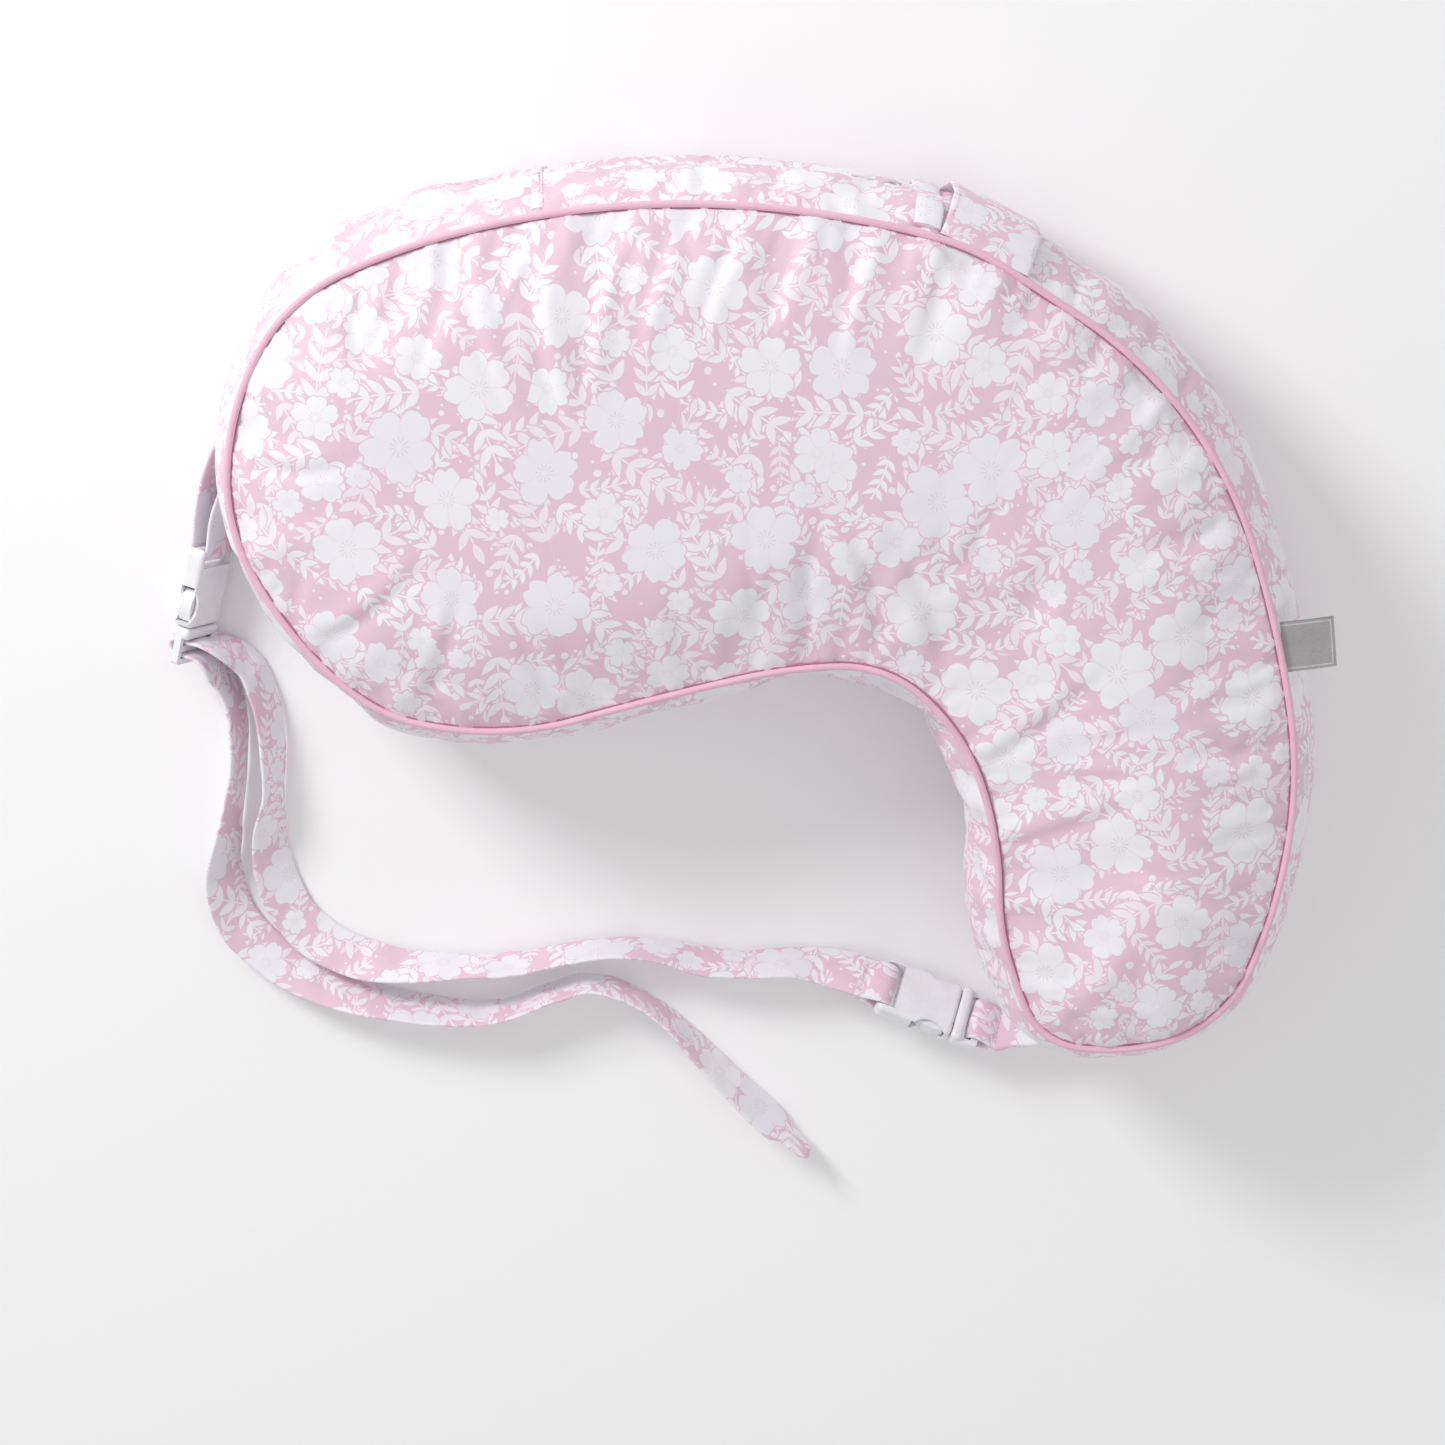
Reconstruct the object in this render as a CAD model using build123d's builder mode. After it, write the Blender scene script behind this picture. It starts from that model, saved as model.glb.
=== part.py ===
"""Asymmetric nursing pillow with a zipped cover and a clip-on waist belt.

Millimetres, +Z up. The origin is on the floor, under the middle of the pillow's plan outline.
"""
from math import asin, atan2, cos, degrees, radians, sin, sqrt, tan
import os

from build123d import *

# ---- pillow sizes ---------------------------------------------------------
PILLOW_HEIGHT = 130.0
TOP_SEAM_Z = 112.0
BOTTOM_SEAM_Z = 8.0
SIDE_BULGE = 11.0           # how far the side wall stands outside the seam outline
TOP_ROUNDING = 45.0
BOTTOM_ROUNDING = 22.0
COVER_THICKNESS = 1.2
CASING_GAP = 0.2            # between the cover and the inner pillow, above and below
CASING_SIDE_GAP = 2.6       # and round the sides, where the zip slider needs room
CASING_THICKNESS = 0.8
FOAM_BOTTOM = 42.0
FOAM_TOP = 84.0
PIPING_DIAMETER = 3.6
PIPING_ROUNDING = 1.7
PIPING_GAP = 0.15

# Seam outline, clockwise from the left end of the zip: x, y and heading in degrees.
# Each pair of knots is joined by two tangent arcs; the first pair shares one arc, the zip's.
OUTLINE = [
    (-113, 219, 9), (84, 208, -15), (156, 169, -33), (250, 47, -72), (272, -115, -98),
    (208, -220, -167), (139, -201, 113), (124, -137, 91), (81, -29, 139), (-13, -20, -167),
    (-181, -44, 167), (-233, -10, 132), (-275, 87, 87), (-215, 189, 25),
]

# ---- zip, handle and label sizes ------------------------------------------
ZIP_Z = 52.0
ZIP_OPENING = 12.0          # height of tape that shows between the two boxing strips
TAPE_HEIGHT = 26.0
TAPE_THICKNESS = 0.6
TEETH_WIDTH = 4.5
TEETH_THICKNESS = 2.0
COIL_GAP = 0.1              # half of the line between the two halves of the zip
TAPE_SPLIT = 1.1            # half of the space between the two tapes, for the slider's wedge
COIL_MARGIN = 0.8           # degrees of bare tape at the open end
STOP_SIZE = 2.0
STOP_SPACE = 0.3
SLIDER_LENGTH = 11.0
SLIDER_WIDTH = 8.0
SLIDER_PLATE = 1.1
SLIDER_CLEARANCE = 0.35
SLIDER_REST = 2.6           # degrees from the flap end of the zip to the parked slider
WEDGE_LENGTH, WEDGE_WIDTH = 3.0, 1.6
FLANGE = 0.8
BRIDGE_LENGTH, BRIDGE_WIDTH, BRIDGE_HEIGHT = 7.0, 2.0, 2.6
BRIDGE_HOLE, BRIDGE_WALL = 1.8, 1.2
PULL_LENGTH, PULL_WIDTH, PULL_THICKNESS = 24.0, 6.0, 1.0
PULL_BAR, PULL_EYE, PULL_CLEARANCE = 1.2, 5.0, 0.5
PULL_REACH = 0.6            # how far the pull's end bar stands past its hinge line
SLIDER_TAPER = 84           # base angle of the slider's plates, in degrees
SECTOR_IN, SECTOR_OUT = -40.0, 20.0     # depths between which the zipped wall is cut out
SECTOR_MARGIN = 10.0
FLAP_GAP = 1.0
FLAP_BOTTOM, FLAP_TOP = 11.0, 109.0
FLAP_ABOVE_ZIP = 1.4        # degrees of the zip's end that the flap covers
FLAP_BEYOND = 0.3           # degrees of flap past the zip's end
HANDLE_WIDTH = 50.0
HANDLE_THICKNESS = 2.2
HANDLE_ALONG = 0.66         # place of the handle's middle along the arc after the zip
# Inner face of the handle: distance out from the side wall, and height.
HANDLE_PROFILE = [(-5.2, 107), (-1.6, 101), (5.5, 90), (8, 70), (8, 45), (5.5, 28), (0.5, 16), (-2.3, 11)]
LABEL_SIZE = 27.0
LABEL_THICKNESS = 0.8
LABEL_Z = 109.0
LABEL_SPOT = (270.5, -4.5)
LABEL_HEADING = 6.0

# ---- strap and buckle sizes -----------------------------------------------
STRAP_WIDTH = 25.0
STRAP_THICKNESS = 2.4
BUCKLE_WIDTH = 33.0
BUCKLE_THICKNESS = 11.0
SOCKET_LENGTH = 44.0
BAR = 4.0
SLOT = 6.0
SLOT_WIDTH = 27.0
MOUTH_RIM = 3.0
WINDOW_START = 21.0
WINDOW_MIDDLE = 31.5
NOTCH_Y, NOTCH_RADIUS = 23.0, 11.0
CORNER, EDGE, END_CORNER, TONGUE_CORNER = 4.0, 2.6, 2.5, 1.5
ROUND_SPARE = 0.3           # flat left between two round corners
OVERLAP = 1.0               # how far joined blocks run into each other
CAVITY_START, CAVITY_WIDTH, CAVITY_HEIGHT = 13.0, 27.6, 7.8
MOUTH_WIDTH = 22.4
ARM_TIP = 23.0              # where the release arms end inside the socket
ARM_ROOT = 44.0
ARM_THICKNESS = 6.8
ARM_SHAFT = (8.2, 10.6)     # inner and outer faces of the arm's thin root, from the middle
ARM_PAD_BACK, ARM_PAD_SIDE = 40.2, 13.6     # where the thin root meets the pad that is pressed
ARM_PAD_BELLY, ARM_PAD_HOLLOW = 15.6, 11.2
ARM_TIP_FACES = (10.2, 12.2)
PLUG_START = 44.3
SHOULDER_LENGTH = 6.5
TONGUE_TIP, TONGUE_WIDTH, TONGUE_HEIGHT = 22.0, 6.0, 6.0
NECK_LENGTH, NECK_WIDTH = 3.4, 13.6
ADJUSTER_SLOTS = [(50.6, 54.4), (58.0, 61.8)]
ADJUSTER_END = 65.0
FIXED_SLOTS = [(50.6, 56.0)]
FIXED_END = 60.0
SOCKET_BAR_X = BAR / 2
LOOP_RADIUS = 3.0
DOUBLE_START = 11.0         # from a bar to where the two layers of strap meet
LEG_JOIN = 2.0              # length over which the two legs of a strap loop are sewn together
LEFT_ANCHOR_LENGTH = 21.5
RIGHT_ANCHOR_LENGTH = 30.0
RIGHT_ANCHOR_HEADING = 8.0
ANCHOR_BEND_GAP = 7.0       # between the loop's two legs and the strap, which turns there
RIGHT_ANCHOR_FACE = (-0.15, 0.72, 0.68)
SEWN_LENGTH = 2.0
LEG_MIDDLE, LEG_HEIGHT = 2.5, 9.0
FLOOR_GAP = 0.4
BEND_SHARE = 0.45           # share of the shorter run beside a corner that its bend takes up

# Buckle frames: the middle of the socket bar, heading in plan, and tilt on edge, in degrees.
LEFT_BUCKLE = ((-296.5, 28.0), 257.5, 65.0)
RIGHT_BUCKLE = ((65.0, -220.5), -22.0, 46.0)

# Belt routes on the floor, from the left buckle: the strap to the other buckle, and the tail.
BELT_ROUTE = [
    (-293, -27), (-280, -35), (-271, -55), (-267, -82), (-267.5, -112), (-271, -140), (-267, -168),
    (-254, -189), (-234, -203), (-205, -210.5), (-167, -211), (-134, -209), (-108, -203),
    (-80, -199.5), (-56, -202), (-35, -209), (-12, -211.5), (14, -209), (43, -211.5),
]
TAIL_ROUTE = [
    (-297, -42), (-289, -52), (-285, -70), (-287, -104), (-293, -136), (-295, -163),
    (-286, -188), (-266, -208), (-240, -222), (-210, -231), (-170, -238), (-144, -236),
    (-118, -224), (-95, -219), (-72, -227), (-52, -241), (-37, -258), (-18, -279), (4, -298),
    (32, -325),
]

# ---- colours -----------------------------------------------------------------
COVER_PINK = (0.90, 0.75, 0.82)
COVER_WHITE = (0.95, 0.88, 0.92)
PIPING_PINK = (0.93, 0.66, 0.76)
TAPE_PINK = (0.93, 0.80, 0.86)
ZIP_WHITE = (0.95, 0.95, 0.96)
LABEL_GREY = (0.62, 0.62, 0.62)
CASING_WHITE = (0.97, 0.97, 0.95)
FILL_WHITE = (0.99, 0.99, 0.97)
FOAM_CREAM = (0.97, 0.94, 0.84)
BUCKLE_WHITE = (0.94, 0.94, 0.97)

os.makedirs("parts", exist_ok=True)


def save(part, label, colour):
    """Label a finished piece and write it to its own file."""
    part.label = label
    part.color = Color(*colour)
    export_step(part, f"parts/{label}.step")


# ---- outline --------------------------------------------------------------
def heading_vector(angle):
    """Unit vector in plan at an angle in degrees."""
    return Vector(cos(radians(angle)), sin(radians(angle)))


def biarc_joint(start, end):
    """Point where two tangent arcs that join two headed knots meet."""
    p0, p1 = Vector(*start[:2]), Vector(*end[:2])
    t0, t1 = heading_vector(start[2]), heading_vector(end[2])
    chord = p1 - p0
    both = t0 + t1
    spread = 2 * (1 - t0.dot(t1))
    along = chord.dot(both)
    reach = (sqrt(along * along + spread * chord.dot(chord)) - along) / spread
    return (p0 + p1 + (t0 - t1) * reach) / 2


def lay_outline(first=0, last=len(OUTLINE)):
    """Add the arcs from knot first to knot last to the open line builder."""
    for i in range(first, last):
        start, end = OUTLINE[i], OUTLINE[(i + 1) % len(OUTLINE)]
        if i == 0:
            TangentArc(start[:2], end[:2], tangent=heading_vector(start[2]))
            continue
        joint = biarc_joint(start, end)
        arc = TangentArc(start[:2], joint, tangent=heading_vector(start[2]))
        TangentArc(joint, end[:2], tangent=arc % 1)


def pillow_block(inset, side_gap=0.0):
    """Rounded solid of the whole pillow, its surface moved in by inset."""
    with BuildPart() as block:
        with BuildSketch(Plane.XY.offset(inset)):
            with BuildLine():
                lay_outline()
            make_face()
            offset(amount=SIDE_BULGE - inset - side_gap)
        extrude(amount=PILLOW_HEIGHT - 2 * inset)
        fillet(block.edges().group_by(Axis.Z)[-1], TOP_ROUNDING - inset)
        fillet(block.edges().group_by(Axis.Z)[0], BOTTOM_ROUNDING - inset)
    return block.part


zip_start, zip_end = Vector(*OUTLINE[0][:2]), Vector(*OUTLINE[1][:2])
zip_heading = OUTLINE[0][2]
zip_chord = zip_end - zip_start
zip_turn = radians(zip_heading) - atan2(zip_chord.Y, zip_chord.X)
ZIP_RADIUS = zip_chord.length / (2 * sin(zip_turn))
ZIP_CENTRE = zip_start - Vector(-sin(radians(zip_heading)), cos(radians(zip_heading))) * ZIP_RADIUS
WALL_RADIUS = ZIP_RADIUS + SIDE_BULGE
zip_left = degrees(atan2(zip_start.Y - ZIP_CENTRE.Y, zip_start.X - ZIP_CENTRE.X))
zip_right = degrees(atan2(zip_end.Y - ZIP_CENTRE.Y, zip_end.X - ZIP_CENTRE.X))
SLIDER_ANGLE = zip_right + SLIDER_REST
DEGREES_PER_MM = degrees(1 / WALL_RADIUS)
wedge_end = SLIDER_LENGTH / 2 - WEDGE_LENGTH - STOP_SPACE
COIL_LEFT, COIL_RIGHT = zip_left - COIL_MARGIN, SLIDER_ANGLE - wedge_end * DEGREES_PER_MM
FLAP_LEFT, FLAP_RIGHT = zip_right + FLAP_ABOVE_ZIP, zip_right - FLAP_BEYOND


def wall_plane(angle):
    """Plane on the outer face of the zipped wall at the zip: X along the wall, Y up, Z outward."""
    out = heading_vector(angle)
    spot = ZIP_CENTRE + out * WALL_RADIUS + Vector(0, 0, ZIP_Z)
    return Plane(origin=spot, x_dir=Vector(-out.Y, out.X), z_dir=out)


def wall_band(depth_in, depth_out, low, high, left=zip_left, right=zip_right):
    """Curved band along the zipped wall between two depths, two heights and two angles."""
    out = heading_vector(right)
    radial = Plane(origin=ZIP_CENTRE, x_dir=out, z_dir=Vector(out.Y, -out.X))
    with BuildPart() as band:
        with BuildSketch(radial):
            with Locations((WALL_RADIUS + (depth_in + depth_out) / 2, (low + high) / 2)):
                Rectangle(depth_out - depth_in, high - low)
        revolve(axis=Axis(ZIP_CENTRE, (0, 0, 1)), revolution_arc=left - right)
    return band.part


# ---- cover ----------------------------------------------------------------
pillow_solid = pillow_block(0)
cover_shell = pillow_solid - pillow_block(COVER_THICKNESS)
zip_sector = wall_band(SECTOR_IN, SECTOR_OUT, -SECTOR_MARGIN, PILLOW_HEIGHT + SECTOR_MARGIN)

with BuildPart() as cover_top_panel:
    add(cover_shell)
    split(bisect_by=Plane.XY.offset(TOP_SEAM_Z), keep=Keep.TOP)
save(cover_top_panel.part, "cover_top_panel", COVER_PINK)

with BuildPart() as cover_bottom_panel:
    add(cover_shell)
    split(bisect_by=Plane.XY.offset(BOTTOM_SEAM_Z), keep=Keep.BOTTOM)
save(cover_bottom_panel.part, "cover_bottom_panel", COVER_PINK)

with BuildPart() as boxing:
    add(cover_shell)
    split(bisect_by=Plane.XY.offset(TOP_SEAM_Z), keep=Keep.BOTTOM)
    split(bisect_by=Plane.XY.offset(BOTTOM_SEAM_Z), keep=Keep.TOP)

with BuildPart() as boxing_front:
    add(boxing.part)
    add(zip_sector, mode=Mode.SUBTRACT)
save(boxing_front.part, "boxing_front", COVER_WHITE)

with BuildPart() as zip_boxing:
    add(boxing.part)
    add(zip_sector, mode=Mode.INTERSECT)

with BuildPart() as boxing_zip_upper:
    add(zip_boxing.part)
    split(bisect_by=Plane.XY.offset(ZIP_Z + ZIP_OPENING / 2), keep=Keep.TOP)
save(boxing_zip_upper.part, "boxing_zip_upper", COVER_WHITE)

with BuildPart() as boxing_zip_lower:
    add(zip_boxing.part)
    split(bisect_by=Plane.XY.offset(ZIP_Z - ZIP_OPENING / 2), keep=Keep.BOTTOM)
save(boxing_zip_lower.part, "boxing_zip_lower", COVER_WHITE)


def seam_cord(seam_z, slope):
    """Rounded cord along a seam, lying on the rounded wall, which slopes by slope degrees there."""
    radius = PIPING_DIAMETER / 2
    rounding = TOP_ROUNDING if seam_z > PILLOW_HEIGHT / 2 else BOTTOM_ROUNDING
    wall_inset = rounding * (1 - cos(radians(slope)))
    centre = SIDE_BULGE - wall_inset + (radius + PIPING_GAP) / cos(radians(slope))
    with BuildPart() as cord:
        with BuildSketch(Plane.XY.offset(seam_z - radius)):
            with BuildLine():
                lay_outline()
            make_face()
            offset(amount=centre + radius)
            with BuildSketch(mode=Mode.SUBTRACT):
                with BuildLine():
                    lay_outline()
                make_face()
                offset(amount=centre - radius)
        extrude(amount=PIPING_DIAMETER)
        fillet(cord.edges().filter_by(Plane.XY), PIPING_ROUNDING)
    return cord.part


top_slope = degrees(asin((TOP_SEAM_Z - PILLOW_HEIGHT + TOP_ROUNDING) / TOP_ROUNDING))
bottom_slope = degrees(asin((BOTTOM_ROUNDING - BOTTOM_SEAM_Z) / BOTTOM_ROUNDING))
save(seam_cord(TOP_SEAM_Z, top_slope), "piping_top", PIPING_PINK)
save(seam_cord(BOTTOM_SEAM_Z, bottom_slope), "piping_bottom", PIPING_PINK)

# ---- zip ------------------------------------------------------------------
TAPE_OUT = -COVER_THICKNESS
TAPE_IN = TAPE_OUT - TAPE_THICKNESS
COIL_OUT = TAPE_OUT + TEETH_THICKNESS
for side, name in ((1, "upper"), (-1, "lower")):
    tape_low, tape_high = sorted((ZIP_Z + side * TAPE_SPLIT, ZIP_Z + side * TAPE_HEIGHT / 2))
    coil_low, coil_high = sorted((ZIP_Z + side * COIL_GAP, ZIP_Z + side * TEETH_WIDTH / 2))
    tape = wall_band(TAPE_IN, TAPE_OUT, tape_low, tape_high)
    coil = wall_band(TAPE_OUT, COIL_OUT, coil_low, coil_high, COIL_LEFT, COIL_RIGHT)
    save(tape, f"zipper_tape_{name}", TAPE_PINK)
    save(coil, f"zipper_coil_{name}", ZIP_WHITE)

top_stop_angle = SLIDER_ANGLE - (SLIDER_LENGTH / 2 + STOP_SPACE) * DEGREES_PER_MM
top_stop_end = top_stop_angle - STOP_SIZE * DEGREES_PER_MM
top_stops = []
for side in (1, -1):
    low, high = sorted((ZIP_Z + side * TAPE_SPLIT, ZIP_Z + side * (TAPE_SPLIT + STOP_SIZE)))
    top_stops.append(wall_band(TAPE_OUT, COIL_OUT, low, high, top_stop_angle, top_stop_end))
save(Compound(children=top_stops), "zipper_top_stops", ZIP_WHITE)

bottom_stop_end = COIL_LEFT + STOP_SIZE * DEGREES_PER_MM
half_stop = TEETH_WIDTH / 2
bottom_stop = wall_band(TAPE_OUT, COIL_OUT, ZIP_Z - half_stop, ZIP_Z + half_stop, bottom_stop_end, COIL_LEFT)
save(bottom_stop, "zipper_bottom_stop", ZIP_WHITE)

slider_plane = wall_plane(SLIDER_ANGLE)
outer_plate = COIL_OUT + SLIDER_CLEARANCE
inner_plate = TAPE_IN - SLIDER_CLEARANCE
with BuildPart() as zipper_slider:
    for plate_z, thickness in ((outer_plate, SLIDER_PLATE), (inner_plate, -SLIDER_PLATE)):
        with BuildSketch(Plane.XY.offset(plate_z)):
            Trapezoid(SLIDER_WIDTH, SLIDER_LENGTH, SLIDER_TAPER, rotation=90)
        extrude(amount=thickness)
    # The wedge that parts the two coils joins the plates at the leading end.
    with BuildSketch(Plane.XY.offset(inner_plate)):
        with Locations((-SLIDER_LENGTH / 2 + WEDGE_LENGTH / 2, 0)):
            Rectangle(WEDGE_LENGTH, WEDGE_WIDTH)
    extrude(amount=outer_plate - inner_plate)
    # Flanges keep the coils in, and stop above the tape.
    with BuildSketch(Plane.XY.offset(TAPE_OUT + SLIDER_CLEARANCE)):
        with GridLocations(0, TEETH_WIDTH + 2 * SLIDER_CLEARANCE + FLANGE, 1, 2):
            Rectangle(SLIDER_LENGTH - FLANGE, FLANGE)
    extrude(amount=outer_plate - TAPE_OUT - SLIDER_CLEARANCE)
    # Bridge over the top that the pull hangs on.
    with BuildSketch(Plane.XY.offset(outer_plate + SLIDER_PLATE)):
        Rectangle(BRIDGE_LENGTH, BRIDGE_WIDTH)
    extrude(amount=BRIDGE_HEIGHT)
    with Locations((0, 0, outer_plate + SLIDER_PLATE + BRIDGE_HOLE / 2)):
        Box(BRIDGE_LENGTH - 2 * BRIDGE_WALL, BRIDGE_WIDTH + OVERLAP, BRIDGE_HOLE, mode=Mode.SUBTRACT)
save(zipper_slider.part.moved(slider_plane.location), "zipper_slider", ZIP_WHITE)

pull_z = outer_plate + SLIDER_PLATE + BRIDGE_HOLE / 2
with BuildPart() as zipper_pull:
    with BuildSketch(Plane.XY.offset(pull_z)):
        with Locations((PULL_LENGTH / 2 - PULL_REACH, 0)):
            RectangleRounded(PULL_LENGTH, PULL_WIDTH, PULL_WIDTH / 2 - ROUND_SPARE)
        with Locations((PULL_EYE / 2 + PULL_BAR / 2, 0)):
            Rectangle(PULL_EYE, BRIDGE_WIDTH + 2 * PULL_CLEARANCE, mode=Mode.SUBTRACT)
    extrude(amount=PULL_THICKNESS / 2, both=True)
    # Round pin that turns in the slider's bridge.
    with Locations(Location((0, 0, pull_z), (90, 0, 0))):
        Cylinder(PULL_BAR / 2, BRIDGE_WIDTH + 2 * PULL_CLEARANCE)
save(zipper_pull.part.moved(slider_plane.location), "zipper_pull", ZIP_WHITE)

flap_shell = pillow_block(-FLAP_GAP - COVER_THICKNESS) - pillow_block(-FLAP_GAP)
flap_sector = wall_band(SECTOR_IN, SECTOR_OUT, FLAP_BOTTOM, FLAP_TOP, FLAP_LEFT, FLAP_RIGHT)
save(flap_shell & flap_sector, "zip_end_flap", COVER_PINK)

# ---- carry handle and side label --------------------------------------------
with BuildLine() as handle_arc:
    handle_joint = biarc_joint(OUTLINE[1], OUTLINE[2])
    TangentArc(OUTLINE[1][:2], handle_joint, tangent=heading_vector(OUTLINE[1][2]))
handle_spot = handle_arc.line @ HANDLE_ALONG
handle_way = handle_arc.line % HANDLE_ALONG
handle_out = Vector(-handle_way.Y, handle_way.X)
handle_plane = Plane(origin=handle_spot + handle_out * SIDE_BULGE, x_dir=handle_out, z_dir=handle_way)
with BuildPart() as carry_handle:
    with BuildSketch(handle_plane):
        with BuildLine():
            inner = Spline(*HANDLE_PROFILE)
            outer = Spline(*[(x + HANDLE_THICKNESS, z) for x, z in HANDLE_PROFILE])
            Line(inner @ 0, outer @ 0)
            Line(inner @ 1, outer @ 1)
        make_face()
    extrude(amount=HANDLE_WIDTH / 2, both=True)
save(carry_handle.part, "carry_handle", COVER_WHITE)

with BuildPart() as side_label:
    with BuildSketch(Plane.XY.offset(LABEL_Z)):
        with Locations(Location((*LABEL_SPOT, 0), (0, 0, LABEL_HEADING))):
            Rectangle(LABEL_SIZE, LABEL_SIZE, align=(Align.MIN, Align.CENTER))
    extrude(amount=LABEL_THICKNESS)
save(side_label.part, "side_label", LABEL_GREY)

# ---- inner pillow -----------------------------------------------------------
casing_inset = COVER_THICKNESS + CASING_GAP
filling = pillow_block(casing_inset + CASING_THICKNESS, CASING_SIDE_GAP)
inner_casing = pillow_block(casing_inset, CASING_SIDE_GAP) - filling
save(inner_casing, "inner_casing", CASING_WHITE)

with BuildPart() as fibre_fill_top:
    add(filling)
    split(bisect_by=Plane.XY.offset(FOAM_TOP), keep=Keep.TOP)
save(fibre_fill_top.part, "fibre_fill_top", FILL_WHITE)

with BuildPart() as foam_core:
    add(filling)
    split(bisect_by=Plane.XY.offset(FOAM_TOP), keep=Keep.BOTTOM)
    split(bisect_by=Plane.XY.offset(FOAM_BOTTOM), keep=Keep.TOP)
save(foam_core.part, "foam_core", FOAM_CREAM)

with BuildPart() as fibre_fill_bottom:
    add(filling)
    split(bisect_by=Plane.XY.offset(FOAM_BOTTOM), keep=Keep.BOTTOM)
save(fibre_fill_bottom.part, "fibre_fill_bottom", FILL_WHITE)


# ---- buckles ----------------------------------------------------------------
# Both buckles are drawn flat: X from the socket bar to the plug, Y across, Z through the thickness.
def buckle_plane(spot, heading, tilt):
    """Plane of a buckle that lies on edge on the floor, its face turned to the left of its heading."""
    along = heading_vector(heading)
    left = Vector(-along.Y, along.X)
    face = Vector(0, 0, cos(radians(tilt))) + left * sin(radians(tilt))
    height = (BUCKLE_WIDTH * sin(radians(tilt)) + BUCKLE_THICKNESS * cos(radians(tilt))) / 2 + FLOOR_GAP
    return Plane(origin=(*spot, height), x_dir=along, z_dir=face)


with BuildPart() as socket:
    with BuildSketch():
        with Locations((SOCKET_LENGTH / 2, 0)):
            RectangleRounded(SOCKET_LENGTH, BUCKLE_WIDTH, CORNER)
    extrude(amount=BUCKLE_THICKNESS / 2, both=True)
    fillet(socket.edges().filter_by(Plane.XY), EDGE)
    # Slot that the strap goes through, and a thinner bar that it goes round.
    with Locations((BAR + SLOT / 2, 0, 0)):
        Box(SLOT, SLOT_WIDTH, BUCKLE_THICKNESS, mode=Mode.SUBTRACT)
    with Locations((BAR / 2, 0, BAR), (BAR / 2, 0, -BAR)):
        Box(BAR, SLOT_WIDTH, BAR, mode=Mode.SUBTRACT)
    # Cavity for the plug, its mouth, and the side windows that the release arms snap into.
    cavity_end = SOCKET_LENGTH - MOUTH_RIM
    with Locations(((CAVITY_START + cavity_end) / 2, 0, 0)):
        Box(cavity_end - CAVITY_START, CAVITY_WIDTH, CAVITY_HEIGHT, mode=Mode.SUBTRACT)
    with Locations((SOCKET_LENGTH - MOUTH_RIM / 2, 0, 0)):
        Box(MOUTH_RIM, MOUTH_WIDTH, CAVITY_HEIGHT, mode=Mode.SUBTRACT)
    with Locations(((WINDOW_START + cavity_end) / 2, 0, 0)):
        Box(cavity_end - WINDOW_START, BUCKLE_WIDTH, CAVITY_HEIGHT, mode=Mode.SUBTRACT)
    with Locations((WINDOW_MIDDLE, NOTCH_Y, 0), (WINDOW_MIDDLE, -NOTCH_Y, 0)):
        Cylinder(NOTCH_RADIUS, BUCKLE_THICKNESS, mode=Mode.SUBTRACT)


def plug(slots, end):
    """Plug with a centre tongue, and a flat end plate with a list of strap slots."""
    with BuildPart() as body:
        with BuildSketch():
            with Locations((PLUG_START + SHOULDER_LENGTH / 2, 0)):
                RectangleRounded(SHOULDER_LENGTH, BUCKLE_WIDTH, SHOULDER_LENGTH / 2 - ROUND_SPARE)
        extrude(amount=BUCKLE_THICKNESS / 2, both=True)
        fillet(body.edges().filter_by(Plane.XY), EDGE)
        with BuildSketch():
            with Locations(((PLUG_START + SHOULDER_LENGTH / 2 + end) / 2, 0)):
                RectangleRounded(end - PLUG_START - SHOULDER_LENGTH / 2, BUCKLE_WIDTH, END_CORNER)
            for slot_start, slot_end in slots:
                with Locations(((slot_start + slot_end) / 2, 0)):
                    Rectangle(slot_end - slot_start, SLOT_WIDTH, mode=Mode.SUBTRACT)
        extrude(amount=BAR / 2, both=True)
        with BuildSketch():
            with Locations(((TONGUE_TIP + PLUG_START + OVERLAP) / 2, 0)):
                RectangleRounded(PLUG_START + OVERLAP - TONGUE_TIP, TONGUE_WIDTH, TONGUE_CORNER)
            with Locations((PLUG_START + (OVERLAP - NECK_LENGTH) / 2, 0)):
                Rectangle(NECK_LENGTH + OVERLAP, NECK_WIDTH)
        extrude(amount=TONGUE_HEIGHT / 2, both=True)
    return body.part


def release_arm(side):
    """Sprung arm whose pad fills a side window; side is 1 or -1."""
    inner, outer = ARM_SHAFT
    with BuildPart() as arm:
        with BuildSketch():
            with BuildLine():
                shaft = Polyline((ARM_ROOT, outer), (ARM_PAD_BACK, outer), (ARM_PAD_BACK, ARM_PAD_SIDE))
                pad = ThreePointArc(shaft @ 1, (WINDOW_MIDDLE, ARM_PAD_BELLY), (ARM_TIP, ARM_TIP_FACES[1]))
                tip = Line(pad @ 1, (ARM_TIP, ARM_TIP_FACES[0]))
                back = ThreePointArc(tip @ 1, (WINDOW_MIDDLE, ARM_PAD_HOLLOW), (ARM_PAD_BACK, inner))
                Polyline(back @ 1, (ARM_ROOT, inner), shaft @ 0)
            make_face()
            if side < 0:
                mirror(about=Plane.XZ, mode=Mode.REPLACE)
        extrude(amount=ARM_THICKNESS / 2, both=True)
    return arm.part


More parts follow.
